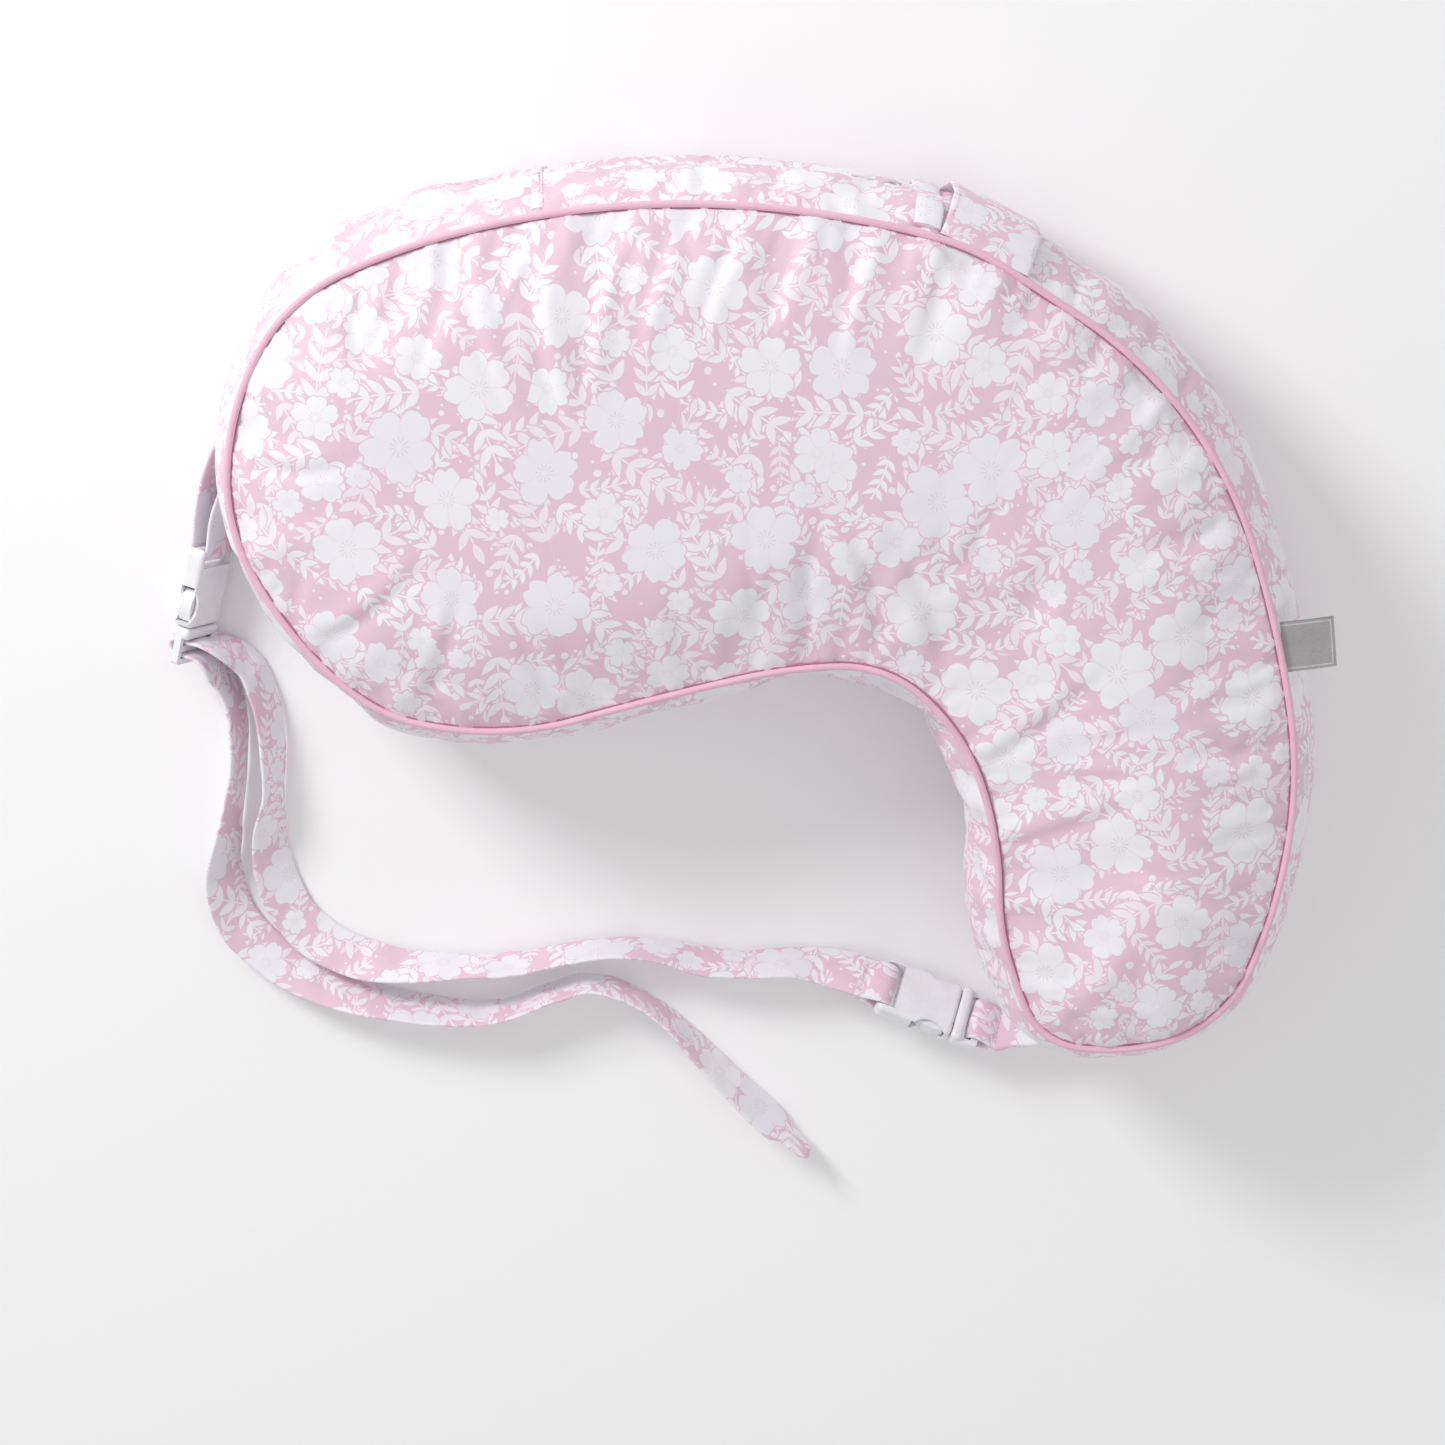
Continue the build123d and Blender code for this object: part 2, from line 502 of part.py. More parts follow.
def strap_loop(bar_x, way):
    """Strap folded round a bar, its two legs meeting DOUBLE_START away in direction way (1 or -1)."""
    inner, outer = LOOP_RADIUS, LOOP_RADIUS + STRAP_THICKNESS
    legs_x = bar_x + way * DOUBLE_START
    with BuildPart() as loop:
        with BuildSketch(Plane.XZ):
            with Locations((bar_x, 0)):
                Circle(outer)
                Circle(inner, mode=Mode.SUBTRACT)
            with Locations((bar_x + way * outer / 2, 0)):
                Rectangle(outer, 2 * outer, mode=Mode.SUBTRACT)
            for side in (1, -1):
                with BuildLine():
                    Polyline((bar_x, side * outer), (bar_x, side * inner), (legs_x - way * LEG_JOIN, 0),
                             (legs_x, 0), (legs_x, side * STRAP_THICKNESS), close=True)
                make_face()
        extrude(amount=STRAP_WIDTH / 2, both=True)
    return loop.part


def double_strap(start_x, end_x):
    """Straight strap of two layers sewn together."""
    with BuildPart() as strap:
        with Locations(((start_x + end_x) / 2, 0, 0)):
            Box(abs(end_x - start_x), STRAP_WIDTH, 2 * STRAP_THICKNESS)
    return strap.part


left_plane = buckle_plane(*LEFT_BUCKLE)
right_plane = buckle_plane(*RIGHT_BUCKLE)
plugs = {"left": plug(ADJUSTER_SLOTS, ADJUSTER_END), "right": plug(FIXED_SLOTS, FIXED_END)}
for name, plane in (("left", left_plane), ("right", right_plane)):
    save(socket.part.moved(plane.location), f"{name}_buckle_socket", BUCKLE_WHITE)
    save(plugs[name].moved(plane.location), f"{name}_buckle_plug", BUCKLE_WHITE)
    for side, place in ((1, "a"), (-1, "b")):
        arm = release_arm(side).moved(plane.location)
        save(arm, f"{name}_release_arm_{place}", BUCKLE_WHITE)

# ---- straps -----------------------------------------------------------------
sewn_reach = SOCKET_BAR_X - DOUBLE_START
left_anchor = strap_loop(SOCKET_BAR_X, -1) + double_strap(sewn_reach, sewn_reach - LEFT_ANCHOR_LENGTH)
save(left_anchor.moved(left_plane.location), "left_anchor_strap", COVER_WHITE)

anchor_bar_x = FIXED_END - BAR / 2
anchor_bend = right_plane.from_local_coords(Vector(anchor_bar_x + DOUBLE_START, 0, 0))
right_tail_plane = Plane(anchor_bend, x_dir=heading_vector(RIGHT_ANCHOR_HEADING), z_dir=RIGHT_ANCHOR_FACE)
right_anchor_loop = strap_loop(anchor_bar_x, 1).moved(right_plane.location)
right_anchor_tail = double_strap(ANCHOR_BEND_GAP, RIGHT_ANCHOR_LENGTH).moved(right_tail_plane.location)
save(right_anchor_loop, "right_anchor_loop", COVER_WHITE)
save(right_anchor_tail, "right_anchor_strap", COVER_WHITE)

right_loop = strap_loop(SOCKET_BAR_X, -1) + double_strap(sewn_reach, sewn_reach - SEWN_LENGTH)
save(right_loop.moved(right_plane.location), "right_belt_loop", COVER_WHITE)

# The strap goes down one slot of the adjuster, behind the middle bar and up the other slot.
first_slot, second_slot = [sum(slot) / 2 for slot in ADJUSTER_SLOTS]
turn_middle = (first_slot + second_slot) / 2
turn_radius = (second_slot - first_slot) / 2
with BuildPart() as adjuster_loop:
    with BuildSketch(Plane.XZ):
        with Locations((turn_middle, -BAR / 2)):
            Circle(turn_radius + STRAP_THICKNESS / 2)
            Circle(turn_radius - STRAP_THICKNESS / 2, mode=Mode.SUBTRACT)
        with Locations((turn_middle, -BAR / 2 + BUCKLE_THICKNESS / 2)):
            Rectangle(BUCKLE_THICKNESS * 2, BUCKLE_THICKNESS, mode=Mode.SUBTRACT)
        with Locations((first_slot, LEG_MIDDLE), (second_slot, LEG_MIDDLE)):
            Rectangle(STRAP_THICKNESS, LEG_HEIGHT)
    extrude(amount=STRAP_WIDTH / 2, both=True)
save(adjuster_loop.part.moved(left_plane.location), "adjuster_loop", COVER_WHITE)


def floor_strap(route):
    """Strap that stands on edge on the floor along a route of straight runs and tangent arcs."""
    points = [Vector(*point) for point in route]
    radii = []
    for before, corner, after in zip(points, points[1:], points[2:]):
        turn = radians((corner - before).get_angle(after - corner))
        shorter = min((corner - before).length, (after - corner).length)
        radii.append(BEND_SHARE * shorter / tan(turn / 2))
    print("bend radii", [round(radius) for radius in radii])
    with BuildPart() as strap:
        with BuildSketch(Plane.XY.offset(FLOOR_GAP)):
            with BuildLine() as line:
                FilletPolyline(*points, radius=radii)
            print("strap length", round(sum(edge.length for edge in line.edges())))
            trace(line_width=STRAP_THICKNESS)
        extrude(amount=STRAP_WIDTH)
    return strap.part


save(floor_strap(BELT_ROUTE), "belt_main", COVER_WHITE)
save(floor_strap(TAIL_ROUTE), "belt_tail", COVER_WHITE)
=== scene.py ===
"""Looks of the nursing pillow: printed cotton cover, piping, belt, buckles, zip, handle and label.

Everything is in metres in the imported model's frame. MM turns the millimetres below into metres.
"""
from math import atan2, cos, pi, radians, sin, sqrt, tau

import bpy
import numpy as np
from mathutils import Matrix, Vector, geometry
from mathutils.bvhtree import BVHTree


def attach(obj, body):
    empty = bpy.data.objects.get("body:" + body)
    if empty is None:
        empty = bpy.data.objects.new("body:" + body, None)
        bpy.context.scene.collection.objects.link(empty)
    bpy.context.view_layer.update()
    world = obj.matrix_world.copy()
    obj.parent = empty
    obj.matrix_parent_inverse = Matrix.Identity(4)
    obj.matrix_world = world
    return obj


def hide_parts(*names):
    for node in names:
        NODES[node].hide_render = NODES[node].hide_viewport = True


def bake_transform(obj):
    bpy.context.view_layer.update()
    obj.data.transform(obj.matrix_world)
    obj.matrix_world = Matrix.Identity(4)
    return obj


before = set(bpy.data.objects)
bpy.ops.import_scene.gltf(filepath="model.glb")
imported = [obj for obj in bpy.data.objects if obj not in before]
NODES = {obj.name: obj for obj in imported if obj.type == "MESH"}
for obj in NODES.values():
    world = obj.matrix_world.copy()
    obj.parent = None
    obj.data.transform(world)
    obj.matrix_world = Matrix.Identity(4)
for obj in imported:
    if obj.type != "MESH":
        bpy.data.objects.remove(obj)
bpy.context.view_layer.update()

MM = 0.001

# ---- sizes, in millimetres ----------------------------------------------------
# Seam outline of the pillow, clockwise: x, y and heading in degrees of each knot.
OUTLINE = [
    (-113, 219, 9), (84, 208, -15), (156, 169, -33), (250, 47, -72), (272, -115, -98),
    (208, -220, -167), (139, -201, 113), (124, -137, 91), (81, -29, 139), (-13, -20, -167),
    (-181, -44, 167), (-233, -10, 132), (-275, 87, 87), (-215, 189, 25),
]
TOP_SEAM, BOTTOM_SEAM = 112.0, 8.0
CROWN = 15.0                # how far the middle of the top stands above its seam
CROWN_REACH = 75.0          # distance from the seam at which the top is level
WALL_OFFSET = 11.0          # the zipped wall's place outside the seam outline
ZIP_Z = 52.0
ZIP_GROOVE = 6.2            # half height of the gap in the boxing that shows the zip
ZIP_DEPTH = 2.0
PULL_ROOM = 20.0            # flat wall past the zip's left end, where the pull lies when the zip is open
PANEL_PITCH = 3.3
BASE_PITCH = 7.0
RING_PITCH = 3.6
CLOTH_FRAMES = 20
CLOTH_CAP = 6.0             # how far the cloth pass may move a point
PIPING_RADIUS = 1.9
STRAP_WIDTH = 25.0
STRAP_THICKNESS = 2.2
STRAP_LIFT = 1.9            # of the strap's middle line, over half of its standing width
BUCKLE_WIDTH = 33.0
BUCKLE_THICKNESS = 11.0
FLOOR_GAP = 0.4
FLOOR_TOUCH = 0.3           # lowest height of a strap that lies on the floor
# Each buckle: the socket's bar end in plan, the heading of its long axis and its tilt in degrees.
LEFT_BUCKLE = ((-296.5, 28.0), 257.5, 65.0)
RIGHT_BUCKLE = ((65.0, -220.5), -22.0, 46.0)


# ---- small helpers ------------------------------------------------------------
def new_object(name, verts, faces, materials, smooth=True):
    """Mesh object in the scene from lists of vertices and faces, in metres."""
    mesh = bpy.data.meshes.new(name)
    mesh.from_pydata([tuple(v) for v in verts], [], [tuple(f) for f in faces])
    mesh.validate()
    for material in materials:
        mesh.materials.append(material)
    mesh.polygons.foreach_set("use_smooth", [smooth] * len(mesh.polygons))
    obj = bpy.data.objects.new(name, mesh)
    bpy.context.scene.collection.objects.link(obj)
    return obj


def add_uv(obj, corners):
    """Give every face corner its place on the flat cloth, in metres."""
    layer = obj.data.uv_layers.new(name="cloth")
    layer.data.foreach_set("uv", np.asarray(corners, np.float32).ravel())


# ---- node graphs ----------------------------------------------------------------
class Graph:
    """Short way to write node maths: every method returns an output socket."""

    def __init__(self, tree):
        self.tree = tree

    def node(self, kind, inputs=None, **settings):
        made = self.tree.nodes.new(kind)
        for key, value in settings.items():
            setattr(made, key, value)
        for key, value in (inputs or {}).items():
            self.set(made.inputs[key], value)
        return made

    def set(self, socket, value):
        if isinstance(value, bpy.types.NodeSocket):
            self.tree.links.new(value, socket)
        else:
            socket.default_value = value

    def math(self, operation, *values, clamp=False):
        made = self.node("ShaderNodeMath", operation=operation, use_clamp=clamp)
        for i, value in enumerate(values):
            self.set(made.inputs[i], value)
        return made.outputs[0]

    def add(self, a, b): return self.math("ADD", a, b)
    def sub(self, a, b): return self.math("SUBTRACT", a, b)
    def mul(self, a, b): return self.math("MULTIPLY", a, b)
    def div(self, a, b): return self.math("DIVIDE", a, b)
    def low(self, a, b): return self.math("MINIMUM", a, b)
    def high(self, a, b): return self.math("MAXIMUM", a, b)
    def size(self, a): return self.math("ABSOLUTE", a)

    def vector(self, operation, *values, output=0):
        made = self.node("ShaderNodeVectorMath", operation=operation)
        for i, value in enumerate(values):
            self.set(made.inputs[i], value)
        return made.outputs[output]

    def split(self, vector):
        return self.node("ShaderNodeSeparateXYZ", {0: vector}).outputs

    def join(self, x, y, z=0.0):
        return self.node("ShaderNodeCombineXYZ", {0: x, 1: y, 2: z}).outputs[0]

    def step(self, value, edge, softness):
        """0 below edge and 1 above it, over a soft band."""
        made = self.node("ShaderNodeMapRange", interpolation_type="SMOOTHSTEP", clamp=True)
        self.set(made.inputs["Value"], value)
        made.inputs["From Min"].default_value = edge - softness
        made.inputs["From Max"].default_value = edge + softness
        return made.outputs[0]

    def mix(self, factor, a, b):
        made = self.node("ShaderNodeMix", data_type="RGBA")
        for socket, value in ((made.inputs[0], factor), (made.inputs[6], a), (made.inputs[7], b)):
            self.set(socket, value)
        return made.outputs[2]

    def noise(self, vector, scale, detail=2.0, rough=0.5):
        made = self.node("ShaderNodeTexNoise", {"Vector": vector, "Scale": scale,
                                                "Detail": detail, "Roughness": rough})
        return made.outputs[0]

    def bump(self, strength, height):
        """Normal of a surface with this height in metres."""
        made = self.node("ShaderNodeBump", {"Strength": strength, "Distance": 1.0, "Height": height})
        return made.outputs[0]

    def cells(self, vector, randomness, feature="F1"):
        made = self.node("ShaderNodeTexVoronoi", {"Vector": vector, "Scale": 1.0},
                         voronoi_dimensions="2D", feature=feature)
        made.inputs["Randomness"].default_value = randomness
        return made.outputs


def srgb(red, green, blue):
    """Linear colour of an 8-bit screen colour."""
    values = [c / 255 for c in (red, green, blue)]
    return [c / 12.92 if c <= 0.04045 else ((c + 0.055) / 1.055) ** 2.4 for c in values] + [1.0]


# ---- floral print ---------------------------------------------------------------
GROUND_PINK = srgb(232, 201, 215)
PETAL_WHITE = srgb(243, 242, 246)
PETAL_LILAC = srgb(238, 235, 243)
LEAF_WHITE = srgb(243, 231, 239)
STAMEN = srgb(226, 208, 208)
PETAL_LINE = srgb(238, 228, 238)
HALO = 0.7 * MM             # pink line kept round each motif
EDGE_SOFTNESS = 0.22 * MM


def turned(g, vector, angle):
    """Vector turned in plan by an angle in radians."""
    made = g.node("ShaderNodeVectorRotate", {"Vector": vector, "Angle": angle}, rotation_type="Z_AXIS")
    return made.outputs[0]


def place_cells(g, cloth, cell, randomness, shift):
    """Scatter one motif per cell: offset from the motif's middle, its place, and random numbers.

    Each scatter lies at its own angle to the cloth, so that no two fall into the same rows.
    """
    angle = shift[0] * 9.0
    grid = turned(g, cloth, angle)
    scaled = g.vector("ADD", g.vector("MULTIPLY", grid, (1 / cell, 1 / cell, 0)), (*shift, 0))
    out = g.cells(scaled, randomness)
    place = g.vector("MULTIPLY", g.vector("SUBTRACT", out["Position"], (*shift, 0)), (cell, cell, 0))
    place = turned(g, place, -angle)
    offset = g.vector("SUBTRACT", cloth, place)
    rand = g.node("ShaderNodeSeparateColor", {0: out["Color"]}).outputs
    return offset, place, rand, scaled


def polar(g, offset, spin):
    """Distance from the middle and turned angle of an offset."""
    x, y, _ = g.split(offset)
    radius = g.vector("LENGTH", offset, output=1)
    angle = g.add(g.math("ARCTAN2", y, x), g.mul(spin, tau))
    return radius, angle


def flowers(g, cloth, cell, randomness, radius, shift, petals=5):
    """Open flowers with notched petals: height field, inner shading fields and places."""
    offset, place, rand, _ = place_cells(g, cloth, cell, randomness, shift)
    reach, angle = polar(g, offset, rand[0])
    size = g.mul(g.add(g.mul(rand[1], 0.26), 0.87), radius)
    lobe = g.size(g.math("COSINE", g.mul(angle, petals / 2)))
    notch = g.mul(g.math("POWER", lobe, 26.0), 0.10)
    petal = g.add(g.mul(g.math("POWER", lobe, 0.55), 0.40), 0.62)
    wobble = g.mul(g.math("SINE", g.add(g.mul(angle, 3.0), g.mul(rand[2], 9.0))), 0.05)
    ruffle = g.mul(g.math("SINE", g.add(g.mul(angle, 14.0), g.mul(rand[1], 20.0))), 0.018)
    wobble = g.add(wobble, ruffle)
    rim = g.mul(g.add(g.sub(petal, notch), wobble), size)
    field = g.sub(rim, reach)
    part = g.div(reach, size)
    line = g.mul(g.step(g.mul(lobe, -1.0), -0.16, 0.09), g.step(part, 0.30, 0.08))
    rays = g.math("COSINE", g.mul(angle, 11.0))
    ring = g.mul(g.step(part, 0.08, 0.03), g.step(g.mul(part, -1.0), -0.27, 0.03))
    stamens = g.mul(g.step(rays, 0.55, 0.25), ring)
    return {"field": field, "place": place, "tone": rand[2], "line": line, "stamens": stamens,
            "part": part, "size": size}


def away_from(g, place, cell, randomness, shift, distance):
    """1 where a motif's place is further than distance from the nearest place of another scatter."""
    _, other, _, _ = place_cells(g, place, cell, randomness, shift)
    gap = g.vector("DISTANCE", place, other, output=1)
    return g.math("GREATER_THAN", gap, distance)


def keep_where(g, field, kept):
    """A field made clearly negative where its motif isn't kept."""
    return g.sub(field, g.mul(g.sub(1.0, kept), 0.02))


def sprigs(g, cloth, cell, randomness, shift, pitch, leaf, width, pairs, bend):
    """Curved stems with pairs of pointed leaves, kept clear of the neighbouring cells."""
    offset, _, rand, scaled = place_cells(g, cloth, cell, randomness, shift)
    reach, angle = polar(g, offset, rand[0])
    u = g.mul(reach, g.math("COSINE", angle))
    v = g.mul(reach, g.math("SINE", angle))
    v = g.sub(v, g.mul(g.mul(u, u), g.mul(g.sub(rand[1], 0.5), bend)))
    along = g.add(u, pitch * pairs / 2)
    cycle = g.math("FLOORED_MODULO", along, pitch)
    side = g.size(v)
    lean = radians(44)
    axis = g.add(g.mul(cycle, cos(lean)), g.mul(side, sin(lean)))
    cross = g.sub(g.mul(side, cos(lean)), g.mul(cycle, sin(lean)))
    share = g.math("DIVIDE", axis, leaf, clamp=True)
    half = g.mul(g.math("SINE", g.mul(g.math("POWER", share, 0.8), pi)), width / 2)
    leaves = g.sub(half, g.size(cross))
    within = g.low(along, g.sub(pitch * pairs, along))
    stem = g.sub(0.45 * MM, side)
    tip_u = g.sub(along, pitch * pairs)
    tip_share = g.math("DIVIDE", g.add(tip_u, 1 * MM), leaf, clamp=True)
    tip = g.sub(g.mul(g.math("SINE", g.mul(tip_share, pi)), width / 2), side)
    shape = g.high(g.low(g.high(leaves, stem), within), tip)
    border = g.mul(g.sub(g.cells(scaled, randomness, "DISTANCE_TO_EDGE")["Distance"], 0.02), cell)
    return g.low(shape, border), rand[2]


def dots(g, cloth, cell, randomness, shift, radius, share):
    """Round berries or dots in a share of the cells."""
    offset, _, rand, _ = place_cells(g, cloth, cell, randomness, shift)
    reach = g.vector("LENGTH", offset, output=1)
    size = g.mul(g.add(g.mul(rand[1], 0.4), 0.8), radius)
    return keep_where(g, g.sub(size, reach), g.math("LESS_THAN", rand[0], share))


def floral_group():
    """Node group: cloth coordinates in metres in, print colour and ink cover out."""
    tree = bpy.data.node_groups.new("floral print", "ShaderNodeTree")
    tree.interface.new_socket("Cloth", in_out="INPUT", socket_type="NodeSocketVector")
    tree.interface.new_socket("Color", in_out="OUTPUT", socket_type="NodeSocketColor")
    tree.interface.new_socket("Ink", in_out="OUTPUT", socket_type="NodeSocketFloat")
    g = Graph(tree)
    cloth_in = g.node("NodeGroupInput").outputs["Cloth"]
    warp = g.node("ShaderNodeTexNoise", {"Vector": cloth_in, "Scale": 22.0, "Detail": 1.0})
    sway = g.vector("SCALE", g.vector("SUBTRACT", warp.outputs["Color"], (0.5, 0.5, 0.5)))
    sway.node.inputs["Scale"].default_value = 5 * MM
    cloth = g.vector("MULTIPLY", g.vector("ADD", cloth_in, sway), (1, 1, 0))

    large_at = (59 * MM, 0.72, (0.31, 0.17))
    medium_at = (39 * MM, 0.75, (0.73, 0.41))
    small_at = (27 * MM, 0.75, (0.12, 0.88))
    large = flowers(g, cloth, *large_at[:2], 17.5 * MM, large_at[2])
    medium = flowers(g, cloth, *medium_at[:2], 12.0 * MM, medium_at[2])
    medium["field"] = keep_where(g, medium["field"], away_from(g, medium["place"], *large_at, 29 * MM))
    small = flowers(g, cloth, *small_at[:2], 7.2 * MM, small_at[2])
    clear = g.mul(away_from(g, small["place"], *large_at, 25 * MM),
                  away_from(g, small["place"], *medium_at, 18 * MM))
    small["field"] = keep_where(g, small["field"], clear)
    leafy = []
    for cell, shift, pitch, leaf, width, pairs, bend in ((44, (0.55, 0.29), 8.6, 12.5, 4.6, 4, 12.0),
                                                         (33, (0.83, 0.13), 7.4, 10, 3.6, 3, 20.0),
                                                         (24, (0.07, 0.61), 5.4, 7.4, 2.6, 4, 26.0)):
        leafy.append(sprigs(g, cloth, cell * MM, 0.5, shift, pitch * MM, leaf * MM, width * MM, pairs, bend))
    berries = dots(g, cloth, 14 * MM, 0.8, (0.4, 0.2), 1.8 * MM, 0.45)
    specks = dots(g, cloth, 8.5 * MM, 0.8, (0.6, 0.9), 0.75 * MM, 0.4)

    colour = GROUND_PINK
    ink = 0.0
    taken = -1.0
    layers = []
    for bloom in (large, medium, small):
        petal = g.mix(bloom["tone"], PETAL_WHITE, PETAL_LILAC)
        petal = g.mix(g.mul(bloom["line"], 0.5), petal, PETAL_LINE)
        petal = g.mix(g.mul(bloom["stamens"], 0.55), petal, STAMEN)
        layers.append((bloom["field"], petal))
    for field, tone in (*leafy, (berries, 0.4), (specks, 0.6)):
        layers.append((field, g.mix(tone, LEAF_WHITE, PETAL_WHITE)))
    for field, paint in layers:
        free = g.sub(1.0, g.step(taken, -HALO, EDGE_SOFTNESS)) if ink else 1.0
        shown = g.mul(g.step(field, 0.0, EDGE_SOFTNESS), free)
        colour = g.mix(shown, colour, paint)
        ink = g.add(ink, shown) if ink else shown
        taken = g.high(taken, field) if taken != -1.0 else field
    out = g.node("NodeGroupOutput")
    g.set(out.inputs["Color"], colour)
    g.set(out.inputs["Ink"], ink)
    return tree


def new_material(name):
    """Empty material with its graph and its main shader."""
    material = bpy.data.materials.new(name)
    material.use_nodes = True
    tree = material.node_tree
    tree.nodes.clear()
    g = Graph(tree)
    shader = g.node("ShaderNodeBsdfPrincipled")
    out = g.node("ShaderNodeOutputMaterial")
    tree.links.new(shader.outputs[0], out.inputs[0])
    return material, g, shader


def weave_bump(g, coord, pitch, strength):
    """Bump of plain-woven yarns with slubs."""
    x, y, _ = g.split(g.vector("MULTIPLY", coord, (tau / pitch,) * 3))
    yarns = g.add(g.math("SINE", x), g.math("SINE", y))
    height = g.mul(yarns, 0.03 * MM)
    slub = g.mul(g.sub(g.noise(coord, 900.0, 2.0), 0.5), 0.10 * MM)
    return g.bump(strength, g.add(height, slub))


def print_material(name, floral):
    """Printed cotton sateen on the cloth map."""
    material, g, shader = new_material(name)
    uv = g.node("ShaderNodeUVMap", uv_map="cloth").outputs[0]
    group = g.node("ShaderNodeGroup", node_tree=floral)
    g.set(group.inputs["Cloth"], uv)
    shade = g.noise(uv, 14.0, 3.0)
    darker = g.mix(0.5, group.outputs["Color"], group.outputs["Color"])
    darker.node.blend_type = "MULTIPLY"
    colour = g.mix(g.mul(g.step(shade, 0.5, 0.25), 0.10), group.outputs["Color"], darker)
    g.set(shader.inputs["Base Color"], colour)
    rough = g.add(g.mul(group.outputs["Ink"], -0.04), g.add(0.60, g.mul(g.sub(shade, 0.5), 0.2)))
    g.set(shader.inputs["Roughness"], rough)
    shader.inputs["Sheen Weight"].default_value = 0.12
    shader.inputs["Sheen Roughness"].default_value = 0.4
    g.set(shader.inputs["Normal"], weave_bump(g, uv, 0.45 * MM, 0.35))
    return material


# ---- pillow outline ---------------------------------------------------------------
def biarc_joint(start, end):
    """Where two tangent arcs that join two headed knots meet."""
    p0, p1 = np.array(start[:2], float), np.array(end[:2], float)
    t0, t1 = [np.array((cos(radians(k[2])), sin(radians(k[2])))) for k in (start, end)]
    chord, both = p1 - p0, t0 + t1
    spread = 2 * (1 - t0 @ t1)
    along = chord @ both
    reach = (sqrt(along * along + spread * chord @ chord) - along) / spread
    return (p0 + p1 + (t0 - t1) * reach) / 2


def arc_points(start, heading, end, steps=24):
    """Points along the arc that leaves start at heading, without its end, and the heading there."""
    chord = end - start
    half = (atan2(chord[1], chord[0]) - heading + pi) % tau - pi
    points = []
    for i in range(steps):
        swept = half * i / steps
        length = np.hypot(*chord) * sin(swept) / sin(half)
        way = heading + swept
        points.append(start + length * np.array((cos(way), sin(way))))
    return points, heading + 2 * half


def along_arc(knot, end, share):
    """Point at a share of the arc that leaves a knot for end, and the heading there."""
    heading, steps = radians(knot[2]), 100
    points, last = arc_points(np.array(knot[:2], float), heading, end, steps)
    return points[round(share * steps)], heading + (last - heading) * share


def seam_line(pitch):
    """Evenly spaced points of the closed seam outline, and their outward normals."""
    raw = []
    for start, end in zip(OUTLINE, OUTLINE[1:] + OUTLINE[:1]):
        joint = biarc_joint(start, end)
        first, way = arc_points(np.array(start[:2], float), radians(start[2]), joint)
        second, _ = arc_points(joint, way, np.array(end[:2], float))
        raw += first + second
    raw = np.array(raw + raw[:1])
    lengths = np.concatenate(([0], np.cumsum(np.hypot(*np.diff(raw, axis=0).T))))
    count = int(round(lengths[-1] / pitch))
    at = np.arange(count) * lengths[-1] / count
    points = np.stack([np.interp(at, lengths, raw[:, i]) for i in (0, 1)], 1)
    ahead = np.roll(points, -1, 0) - np.roll(points, 1, 0)
    normals = np.stack((-ahead[:, 1], ahead[:, 0]), 1)
    normals /= np.hypot(*normals.T)[:, None]
    return points, normals, at, lengths[-1]


def inside_outline(points, outline):
    """True for each point that lies inside a closed outline."""
    x, y = points.T
    inside = np.zeros(len(points), bool)
    for (x0, y0), (x1, y1) in zip(outline, np.roll(outline, -1, 0)):
        crosses = (y0 > y) != (y1 > y)
        if crosses.any():
            inside ^= crosses & (x < (x1 - x0) * (y - y0) / (y1 - y0 + 1e-12) + x0)
    return inside


def distance_to(points, outline):
    """Distance from each point to the nearest of the outline's points."""
    found = [np.sqrt(((part[:, None] - outline) ** 2).sum(2).min(1)) for part in np.array_split(points, 40)]
    return np.concatenate(found)


def fill_outline(outline, pitch, dense):
    """Triangles over the inside of an outline: points, with the outline's first, and faces."""
    low, high = outline.min(0), outline.max(0)
    rows = np.arange(low[1], high[1], pitch * sqrt(3) / 2)
    grid = np.array([(x + (i % 2) * pitch / 2, y) for i, y in enumerate(rows)
                     for x in np.arange(low[0], high[0], pitch)])
    grid = grid[inside_outline(grid, outline)]
    grid = grid[distance_to(grid, dense) > pitch * 0.62]
    points = np.concatenate((outline, grid))
    count = len(outline)
    edges = [(i, (i + 1) % count) for i in range(count)]
    result = geometry.delaunay_2d_cdt([Vector(p) for p in points], edges, [], 1, 1e-6)
    faces = [[result[3][i][0] for i in face] for face in result[2]]
    return points, faces


def zip_centre():
    """Centre and radius of the arc that the zipped wall follows, and its two end angles."""
    start, end = np.array(OUTLINE[0][:2], float), np.array(OUTLINE[1][:2], float)
    chord = end - start
    turn = radians(OUTLINE[0][2]) - atan2(chord[1], chord[0])
    radius = np.hypot(*chord) / (2 * sin(turn))
    heading = radians(OUTLINE[0][2])
    centre = start - radius * np.array((-sin(heading), cos(heading)))
    ends = [atan2(*(p - centre)[::-1]) for p in (start, end)]
    return centre, radius, ends[0], ends[1]


def smooth_step(value, low, high):
    """0 below low, 1 above high, and a smooth rise between."""
    share = np.clip((value - low) / (high - low), 0, 1)
    return share * share * (3 - 2 * share)


ZIP_CENTRE, ZIP_RADIUS, ZIP_LEFT, ZIP_RIGHT = zip_centre()


